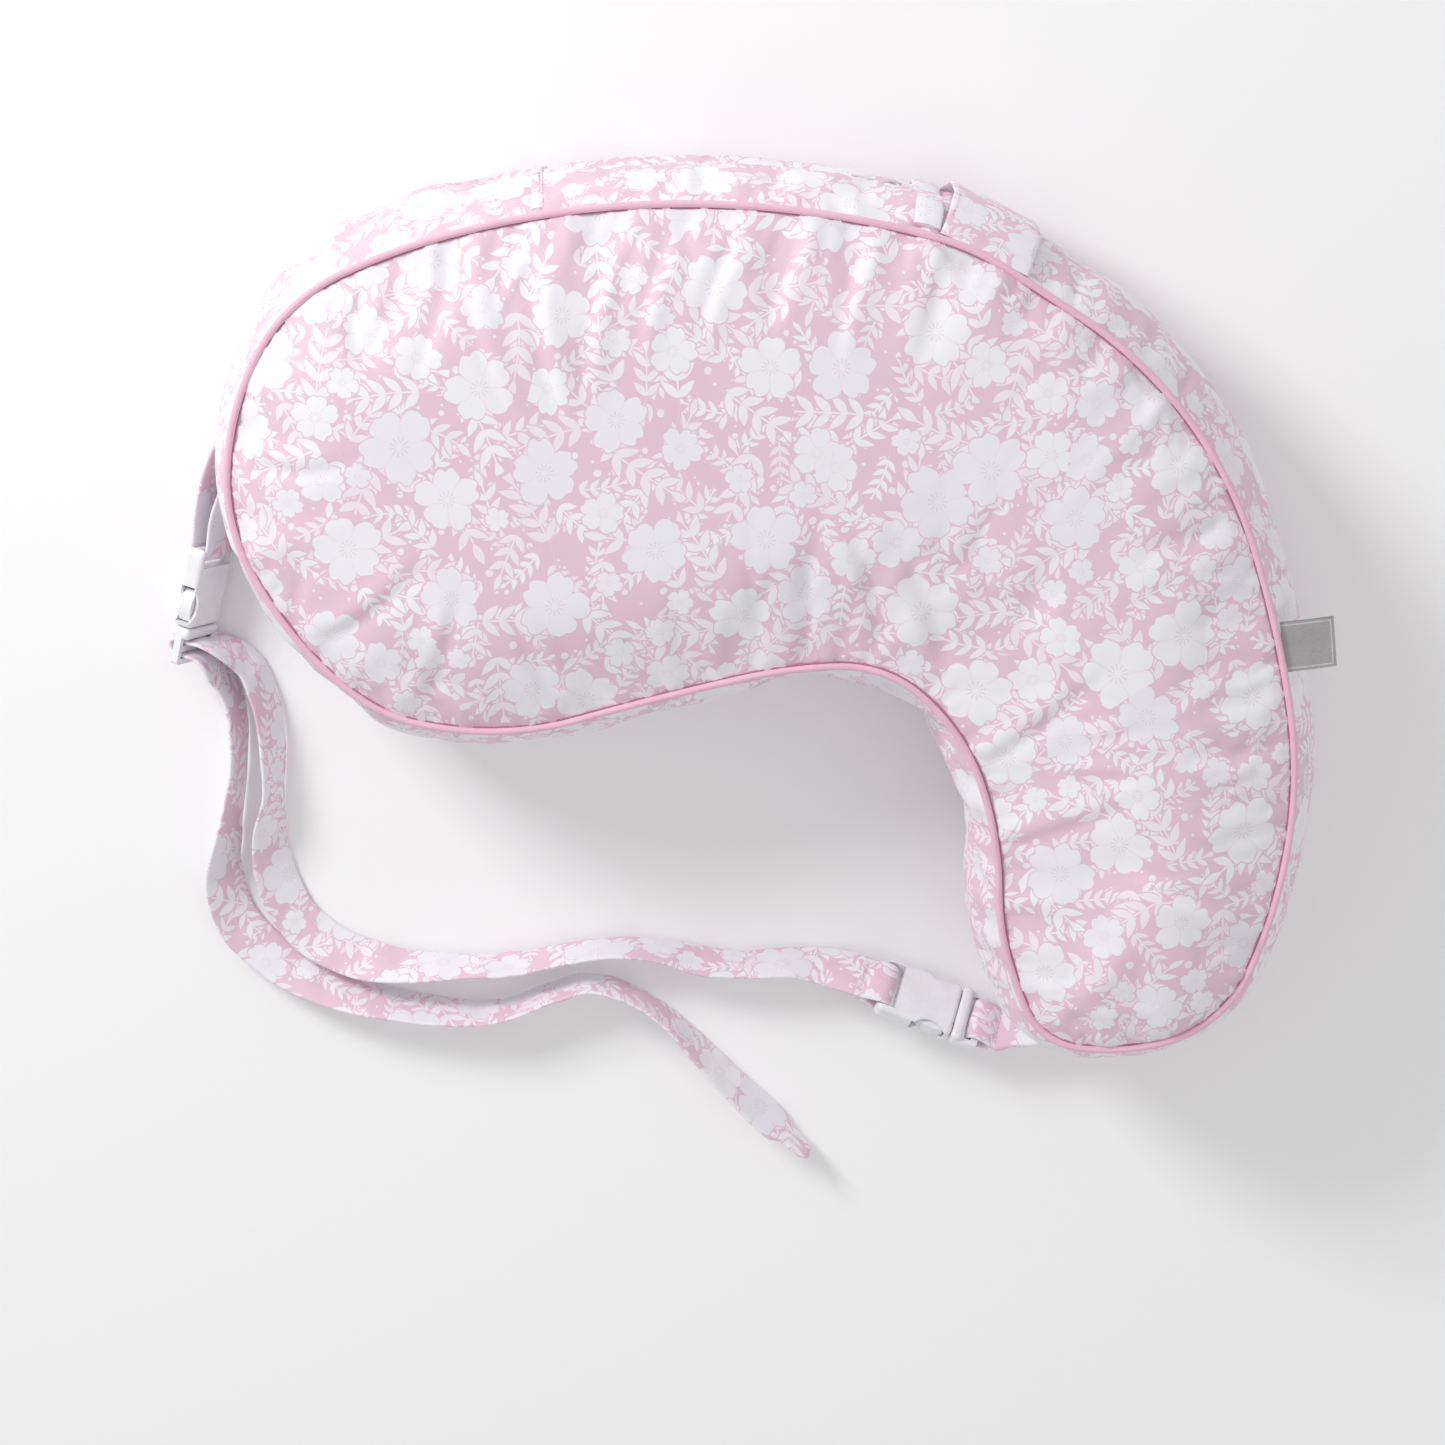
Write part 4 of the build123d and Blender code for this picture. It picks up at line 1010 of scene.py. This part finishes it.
# ---- belt -------------------------------------------------------------------------
left, right = Place(*LEFT_BUCKLE), Place(*RIGHT_BUCKLE)
BELT = [
    (-280.5, -37, 117), (-271, -57, 119), (-267.3, -84, 118), (-267.6, -112, 112), (-270.5, -138, 134),
    (-266, -166, 152), (-253.5, -189, 162), (-233, -203.5, 152), (-205, -210, 124), (-167, -210.5, 106),
    (-134, -208.5, 103), (-108, -203, 100), (-80, -199.5, 99), (-56, -201.5, 104), (-35, -207, 113),
    (-12, -209.5, 108), (12, -208.5, 113), (32, -210.5, 126),
]
TAIL = [
    (-292.5, -46, 112), (-286, -66, 108), (-286.5, -100, 106), (-292, -132, 116), (-296, -160, 138),
    (-289, -187, 156), (-270, -207, 158), (-243, -222, 142), (-212, -231, 121), (-172, -237, 110),
    (-144, -236, 101), (-118, -226, 101), (-96, -220, 98), (-72, -227, 98), (-52, -241, 102),
    (-36, -258, 110), (-17, -279, 118), (4, -300, 122), (26, -320, 104),
]
plug_bar = (52.5, 59.9)
belt_start = [left.row(plug_bar[0], 4.0), left.row(plug_bar[0] - 0.5, 8.5)]
tail_start = [left.row(plug_bar[1], 4.0), left.row(plug_bar[1] + 0.2, 8.5)]
belt_rows = belt_start + floor_rows(BELT) + [right.row(-14.5, 0.8), right.row(-9.5, 0.0)]
tail_rows = tail_start + floor_rows(TAIL)
belt_line, _ = smooth_rows(belt_rows, 2.0)
half_way = len(belt_line) // 2
LEFT_BLEND = ((-0.27, -0.190, 0.015), (-0.27, -0.045, 0.015))
RIGHT_BLEND = ((-0.120, -0.205, 0.015), (0.030, -0.211, 0.015))
strap_kind = (STRAP_WIDTH, STRAP_THICKNESS, strap_print)
left_half, left_length = ribbon("belt_left", belt_line[:half_way + 1], *strap_kind, seed=3, crease=0.55,
                                flatten=FLOOR_TOUCH, uv_at=(3000, 100))
right_half, right_length = ribbon("belt_right", belt_line[half_way:], *strap_kind, seed=3, crease=0.55,
                                  flatten=FLOOR_TOUCH, uv_at=(3000 + left_length, 100))
tail_hem = [(0, 1), (0.955, 1), (0.968, 0.62), (0.978, 0.66), (0.992, 0.72), (1, 0.45)]
tail, tail_length = ribbon("belt_tail_strap", tail_rows, *strap_kind, seed=8, crease=0.6,
                           flatten=FLOOR_TOUCH, uv_at=(3100, 700), ends=(False, True), widths=tail_hem)
for strap, length, other, ends in ((left_half, left_length, "left_plug", LEFT_BLEND),
                                   (right_half, right_length, "right_socket", RIGHT_BLEND),
                                   (tail, tail_length, "left_plug", LEFT_BLEND)):
    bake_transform(strap)
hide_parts("belt_main")
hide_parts("belt_main")
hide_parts("belt_tail")


def strap_piece(name, rows, node, body, seed, uv_at, thickness=STRAP_THICKNESS, crease=0.35):
    """Short printed strap that moves with one body."""
    piece, _ = ribbon(name, rows, STRAP_WIDTH, thickness, strap_print, seed=seed, crease=crease, pitch=1.0,
                      uv_at=uv_at)
    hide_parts(node)
    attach(piece, body)
    return piece


# Strap that goes down one slot of the adjuster, behind its bar and up the other slot.
middle = sum(plug_bar) / 2
turn = [(middle - 4.0 * cos(a), -3.4 - 3.6 * sin(a)) for a in np.linspace(0.35, pi - 0.35, 7)]
wrap = [(plug_bar[0], 5.5), (plug_bar[0], 1.5), *turn, (plug_bar[1], 1.5), (plug_bar[1], 5.5)]
strap_piece("adjuster_wrap", [left.row(x, z) for x, z in wrap], "adjuster_loop", "left_plug", 4, (3400, 200))

# Anchor loop of the left buckle: from the side seam, round the socket's bar and back to the seam.
LOOP_MIDDLE = 4.3           # from a bar's middle to the middle of the strap round it
SOCKET_BAR, PLUG_BAR = 2.0, 58.0    # places of the bars along a buckle


def bar_turn(place, x, way):
    """Rows round a buckle's bar, from one face to the other, on the side that way points to."""
    return [place.row(x + way * LOOP_MIDDLE * cos(a), LOOP_MIDDLE * sin(a))
            for a in np.linspace(-pi / 2, pi / 2, 9)]


# Rows of x, y, z and the direction across the strap.
outer_leg = [(-279, 101, 26, -0.25, 0.1, 0.95), (-287.5, 86, 23, -0.25, 0.1, 0.95),
             (-294.5, 68, 19.5, -0.3, 0.1, 0.93), (-299, 47, 16.8, -0.38, 0.1, 0.92)]
inner_leg = [(-289.5, 42, 20.3, -0.5, 0.1, 0.85), (-283, 58, 21.5, -0.6, 0.1, 0.78),
             (-275, 73, 24, -0.62, 0.2, 0.74), (-265, 84, 27, -0.6, 0.2, 0.74)]
strap_piece("left_anchor", outer_leg + bar_turn(left, SOCKET_BAR, 1) + inner_leg, "left_anchor_strap",
            "root", 6, (3600, 300))


def folded_loop(place, bar_x, way, reach, spread=1.35):
    """Rows of a strap folded round a bar, both layers lying together as far as reach."""
    legs = [place.row(bar_x - way * d, -z) for d, z in ((reach, spread), (11, spread), (6, 3.1))]
    back = [place.row(bar_x - way * d, z) for d, z in ((6, 3.1), (11, spread), (reach, spread))]
    return legs + bar_turn(place, bar_x, way) + back


strap_piece("right_loop_strap", folded_loop(right, SOCKET_BAR, 1, 15.5), "right_belt_loop", "right_socket", 9,
            (3700, 500))
strap_piece("right_anchor_fold", folded_loop(right, PLUG_BAR, -1, 12.5), "right_anchor_loop", "root", 12,
            (3800, 640))
tail_face = np.array((-0.15, 0.72, 0.68))
tail_way = np.array((cos(radians(8)), sin(radians(8)), 0.0))
across = np.cross(tail_face, tail_way)
bend_at = right.at(PLUG_BAR + 11)
anchor_rows = [(*(bend_at + tail_way * d + np.array((0, 0, lift))), *(-across)) for d, lift in
               ((-3, 0.4), (6, 0.2), (16, 0.6), (28, 1.5), (40, 3))]
strap_piece("right_anchor", anchor_rows, "right_anchor_strap", "root", 14, (3900, 200), thickness=4.2)

# Rows of stitches that hold the folded straps, on the side that shows.
half = STRAP_WIDTH / 2 - 1.2
for name, x, body in (("loop_stitches", -12.2, "right_socket"), ("fold_stitches", 68.5, "root")):
    points = [right.at(x, v, 3.6) for v in (-half, 0, half)]
    stitches(name, points, right.z, body, length=2.2, gap=0.8, radius=0.24)

# ---- buckles ----------------------------------------------------------------------
for name, node in NODES.items():
    if "buckle" in name or "release_arm" in name:
        node.data.materials.clear()
        node.data.materials.append(buckle_plastic)

# Thin dark cord just inside the top piping: painted shade of the seam's crease, laid on as a tube.
seam_offset = wall_offset(seams, normals, TOP_SEAM)[:, None]
seam_path = np.c_[seams + normals * (seam_offset - 1.5), np.full(len(seams), TOP_SEAM + 0.55)]
seam_outward = np.c_[normals, np.zeros(len(normals))]
seam_shadow_tube = tube("top_seam_shadow_cord", seam_path, seam_outward, 0.45, seam_shadow_paint, sides=8)
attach(seam_shadow_tube, "root")

# ---- handle and the flap over the zip's end -----------------------------------------
HANDLE_SHARE = 0.66         # place of the handle along the first arc after the zip
handle_seam, handle_heading = along_arc(OUTLINE[1], biarc_joint(*OUTLINE[1:3]), HANDLE_SHARE)
HANDLE_OUT = np.array((-sin(handle_heading), cos(handle_heading)))
HANDLE_WAY = np.array((cos(handle_heading), sin(handle_heading), 0.0))
HANDLE_SPOT = handle_seam + HANDLE_OUT * WALL_OFFSET
HANDLE_WIDTH = 50.0
# Distance out from the wall's place, and height.
handle_line = [(-9.6, 111.3), (-6.2, 109.3), (-2.0, 103), (5.0, 92), (9.0, 78), (9.4, 62), (8.8, 45),
               (6.3, 29), (1.6, 17), (-2.4, 10.5)]


def handle_row(out, z, along=0.0):
    return (*(HANDLE_SPOT + HANDLE_OUT * out + HANDLE_WAY[:2] * along), z)


handle_rows = [(*handle_row(d, z), *HANDLE_WAY) for d, z in handle_line]
handle, _ = ribbon("handle_band", handle_rows, HANDLE_WIDTH, 2.4, strap_print, seed=21, crease=0.45,
                   puff=0.25, uv_at=(4200, 900))
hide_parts("carry_handle")
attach(handle, "root")
for name, along in (("handle_stitches_a", -22.6), ("handle_stitches_b", 22.6)):
    path = [handle_row(d + 1.55, z, along) for d, z in handle_line[2:-1]]
    stitches(name, path, (*HANDLE_OUT, 0.2), "root", length=2.4, gap=0.9, radius=0.25)


def zip_point(angle, depth, z):
    """Point beside the zipped wall: angle in degrees about the zip's centre, depth out from the wall."""
    reach = ZIP_RADIUS + WALL_OFFSET + depth
    return (ZIP_CENTRE[0] + reach * cos(radians(angle)), ZIP_CENTRE[1] + reach * sin(radians(angle)), z)


ZIP_FROM, ZIP_TO = np.degrees(ZIP_LEFT), np.degrees(ZIP_RIGHT)
flap_at = ZIP_TO + 0.55
flap_way = (sin(radians(flap_at)), -cos(radians(flap_at)), 0)
flap_line = [(-6.2, 108.8), (-2.2, 104), (1.8, 95), (3.6, 82), (3.6, 66), (3.2, 52), (3.4, 38), (3.4, 24),
             (1.0, 12)]
flap_rows = [(*zip_point(flap_at, d, z), *flap_way) for d, z in flap_line]
flap, _ = ribbon("zip_end_flap_patch", flap_rows, 14.5, 2.0, strap_print, seed=30, crease=0.35, puff=0.9,
                 pitch=1.2, uv_at=(4400, 300))
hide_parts("zip_end_flap")
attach(flap, "root")

# Seam that joins the zipped part of the boxing to the rest, laid on the finished cover.
seam_angle = radians(ZIP_FROM + 0.35)
seam_out = np.array((cos(seam_angle), sin(seam_angle), 0.0))
seam_way = np.array((seam_out[1], -seam_out[0], 0.0))
cover_tree = BVHTree.FromObject(cover, bpy.context.evaluated_depsgraph_get())


def on_wall(z, along, lift):
    """Point on the cover's side at the seam's angle, shifted along the wall and lifted off it."""
    start = np.array((*ZIP_CENTRE, z)) + seam_out * (ZIP_RADIUS + 60) + seam_way * along
    hit = cover_tree.ray_cast(Vector(start * MM), Vector(-seam_out))[0]
    return np.array(hit) / MM + seam_out * lift


seam_heights = np.linspace(TOP_SEAM - 2.5, BOTTOM_SEAM + 2.5, 30)
boxing_seam, _ = ribbon("boxing_seam", [(*on_wall(z, 0, 0.25), *seam_way) for z in seam_heights], 4.5, 1.3,
                        cover_print, seed=40, crease=0.15, puff=0.6, pitch=1.5, uv_at=(4600, 500))
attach(boxing_seam, "root")
stitches("boxing_seam_stitches", [on_wall(z, 3.6, 0.1) for z in seam_heights], seam_out, "root", radius=0.24)

# ---- zip --------------------------------------------------------------------------
TAPE_FRONT, TAPE_THICKNESS = -1.2, 0.7      # outer face of the tapes, out from the wall's place
TAPE_REACH = 13.0           # from the zip's middle line to the tapes' hidden edges
COIL_PITCH = 1.6
COIL_FROM, COIL_TO = 76.95, 98.15           # angles of the first loop and past the last one


def zip_band(name, node, low, high):
    """Flat woven tape along the zipped wall, between two heights."""
    angles = np.linspace(ZIP_FROM, ZIP_TO, 90)
    front, back = TAPE_FRONT, TAPE_FRONT - TAPE_THICKNESS
    section = [(back, low), (front, low + 0.3), (front, high - 0.3), (back, high)]
    verts = [zip_point(a, d, z) for a in angles for d, z in section]
    faces, corners = [], []
    mid = ZIP_RADIUS + WALL_OFFSET
    for i in range(len(angles) - 1):
        for j in range(4):
            k = (j + 1) % 4
            faces.append((i * 4 + j, i * 4 + k, i * 4 + 4 + k, i * 4 + 4 + j))
            s0, s1 = [radians(a) * mid for a in angles[i:i + 2]]
            z0, z1 = section[j][1], section[k][1]
            corners += [(s0, z0), (s0, z1), (s1, z1), (s1, z0)]
    for start, flip in ((0, False), (len(angles) * 4 - 4, True)):
        faces.append([start + j for j in (range(4) if flip else range(3, -1, -1))])
        corners += [(0, 0)] * 4
    obj = new_object(name, np.array(verts) * MM, faces, [tape_cotton], smooth=False)
    add_uv(obj, np.array(corners) * MM)
    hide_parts(node)
    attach(obj, "root")


def zip_coil(name, node, side):
    """Row of moulded coil loops that hook over the middle line of the zip, on a thin cord."""
    step = np.degrees(COIL_PITCH / (ZIP_RADIUS + WALL_OFFSET))
    shift = step / 2 if side > 0 else 0
    verts, faces = [], []
    loop = [(2.3, -0.95), (1.6, -0.35), (0.3, -0.15), (-0.55, 0.0), (0.3, 0.35), (1.6, 0.45), (2.3, -0.2)]
    for angle in np.arange(COIL_FROM, COIL_TO, step):
        first = len(verts)
        for n, (height, depth) in enumerate(loop):
            spread = 0.42 if n in (2, 3, 4) else 0.33
            thick = 0.45 if n == 3 else 0.36
            for a in np.linspace(0, tau, 6, endpoint=False):
                turned_by = angle + shift + np.degrees(spread * cos(a) / ZIP_RADIUS)
                verts.append(zip_point(turned_by, depth + thick * sin(a), ZIP_Z + side * height))
        for n in range(len(loop) - 1):
            for j in range(6):
                k = (j + 1) % 6
                low, high = first + n * 6, first + n * 6 + 6
                quad = [low + j, low + k, high + k, high + j]
                faces.append(quad if side > 0 else quad[::-1])
        last = first + len(loop) * 6 - 6
        faces += [[first + j for j in range(6)][::-side], [last + j for j in range(6)][::side]]
    obj = new_object(name, np.array(verts) * MM, faces, [zip_plastic])
    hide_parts(node)
    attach(obj, "root")


zip_band("tape_upper", "zipper_tape_upper", ZIP_Z + 1.0, ZIP_Z + TAPE_REACH)
zip_band("tape_lower", "zipper_tape_lower", ZIP_Z - TAPE_REACH, ZIP_Z - 1.0)
zip_coil("coil_upper", "zipper_coil_upper", 1)
zip_coil("coil_lower", "zipper_coil_lower", -1)
for side, name in ((1, "upper"), (-1, "lower")):
    stitch_z = ZIP_Z + side * (ZIP_GROOVE + 2.2)
    path = [zip_point(a, 1.25, stitch_z) for a in np.linspace(ZIP_FROM - 0.3, ZIP_TO + 1.8, 60)]
    outward = [(cos(radians(a)), sin(radians(a)), 0) for a in np.linspace(ZIP_FROM, ZIP_TO + 1.8, 60)]
    stitches("zip_stitches_" + name, path, outward, "root", radius=0.24)
for name in ("zipper_slider", "zipper_pull", "zipper_top_stops", "zipper_bottom_stop"):
    NODES[name].data.materials.clear()
    NODES[name].data.materials.append(zip_metal)
for name in ("zipper_slider", "zipper_pull"):
    bevel = NODES[name].modifiers.new("soft edges", "BEVEL")
    bevel.width, bevel.segments, bevel.angle_limit = 0.22 * MM, 2, radians(40)

# ---- side label ---------------------------------------------------------------------
LABEL_TURN = radians(6)
LABEL_OUT = np.array((cos(LABEL_TURN), sin(LABEL_TURN), 0.0))
LABEL_WAY = np.array((-sin(LABEL_TURN), cos(LABEL_TURN), 0.0))
LABEL_FROM = np.array((268.2, -4.8, 110.6))


def label_at(u, v, lift=0.0):
    """Point on the label: u out from the seam, v along it, drooping a little towards its free end."""
    droop = -2.2 * (u / 27) ** 2 + 0.5 * sin(v / 9.0) * (u / 27)
    return LABEL_FROM + LABEL_OUT * u + LABEL_WAY * v + np.array((0, 0, droop + lift))


def build_label():
    """Folded woven label, blank, with a lighter woven line near its edges."""
    steps = np.linspace(-13.5, 13.5, 37)
    outs = np.linspace(-1.0, 27.0, 38)
    verts = [label_at(u, v, side * (0.42 - 0.3 * max(0.0, (u - 26.0)) ** 2)) for side in (1, -1)
             for u in outs for v in steps]
    rows, size = len(outs), len(steps)
    faces, corners, shades = [], [], []
    for side in (0, 1):
        first = side * rows * size
        for i in range(rows - 1):
            for j in range(size - 1):
                quad = [first + i * size + j, first + (i + 1) * size + j,
                        first + (i + 1) * size + j + 1, first + i * size + j + 1]
                faces.append(quad if side == 0 else quad[::-1])
                corners += [(outs[(q - first) // size], steps[(q - first) % size]) for q in faces[-1]]
                u, v = (outs[i] + outs[i + 1]) / 2, abs(steps[j] + steps[j + 1]) / 2
                border = (abs(v - 11.6) < 0.5 and u < 25.6) or (abs(u - 25.1) < 0.5 and v < 12.1)
                shades.append(1 if border else 0)
    skirt = [i * size for i in range(rows)] + [(rows - 1) * size + j for j in range(1, size)]
    skirt += [i * size + size - 1 for i in range(rows - 2, -1, -1)] + list(range(size - 2, 0, -1))
    for a, b in zip(skirt, skirt[1:] + skirt[:1]):
        faces.append((a, a + rows * size, b + rows * size, b)[::-1])
        corners += [(0, 0), (0, 0.5), (0.5, 0.5), (0.5, 0)]
        shades.append(0)
    obj = new_object("blank_label", np.array(verts) * MM, faces, [label_twill, label_edge])
    add_uv(obj, np.array(corners) * MM)
    obj.data.polygons.foreach_set("material_index", shades)
    return obj


label = build_label()
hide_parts("side_label")
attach(label, "root")

# ---- stage ------------------------------------------------------------------------
def stage_material():
    """Even, matt, almost white floor."""
    material, _, shader = new_material("floor_white")
    shader.inputs["Roughness"].default_value = 0.9
    shader.inputs["Base Color"].default_value = (0.97, 0.97, 0.972, 1)
    return material


FLOOR_CORNERS = [(-6, -6, 0), (6, -6, 0), (6, 6, 0), (-6, 6, 0)]
floor = new_object("floor", FLOOR_CORNERS, [(0, 1, 2, 3)], [stage_material()])
world = bpy.data.worlds.new("studio")
world.use_nodes = True
world.node_tree.nodes["Background"].inputs[0].default_value = (1, 1, 1, 1)
world.node_tree.nodes["Background"].inputs[1].default_value = 0.6
bpy.context.scene.world = world


def soft_light(name, spot, size, power):
    """Square soft box that faces the pillow."""
    data = bpy.data.lights.new(name, "AREA")
    data.size, data.energy = size, power
    light = bpy.data.objects.new(name, data)
    light.location = spot
    light.rotation_mode = "QUATERNION"
    light.rotation_quaternion = (Vector((0, 0, 0.05)) - Vector(spot)).to_track_quat("-Z", "Y")
    bpy.context.scene.collection.objects.link(light)


soft_light("key", (-1.5, 1.45, 1.3), 0.7, 32)
soft_light("fill", (1.4, -0.9, 1.9), 1.6, 4)
bpy.context.scene.view_settings.view_transform = "Standard"
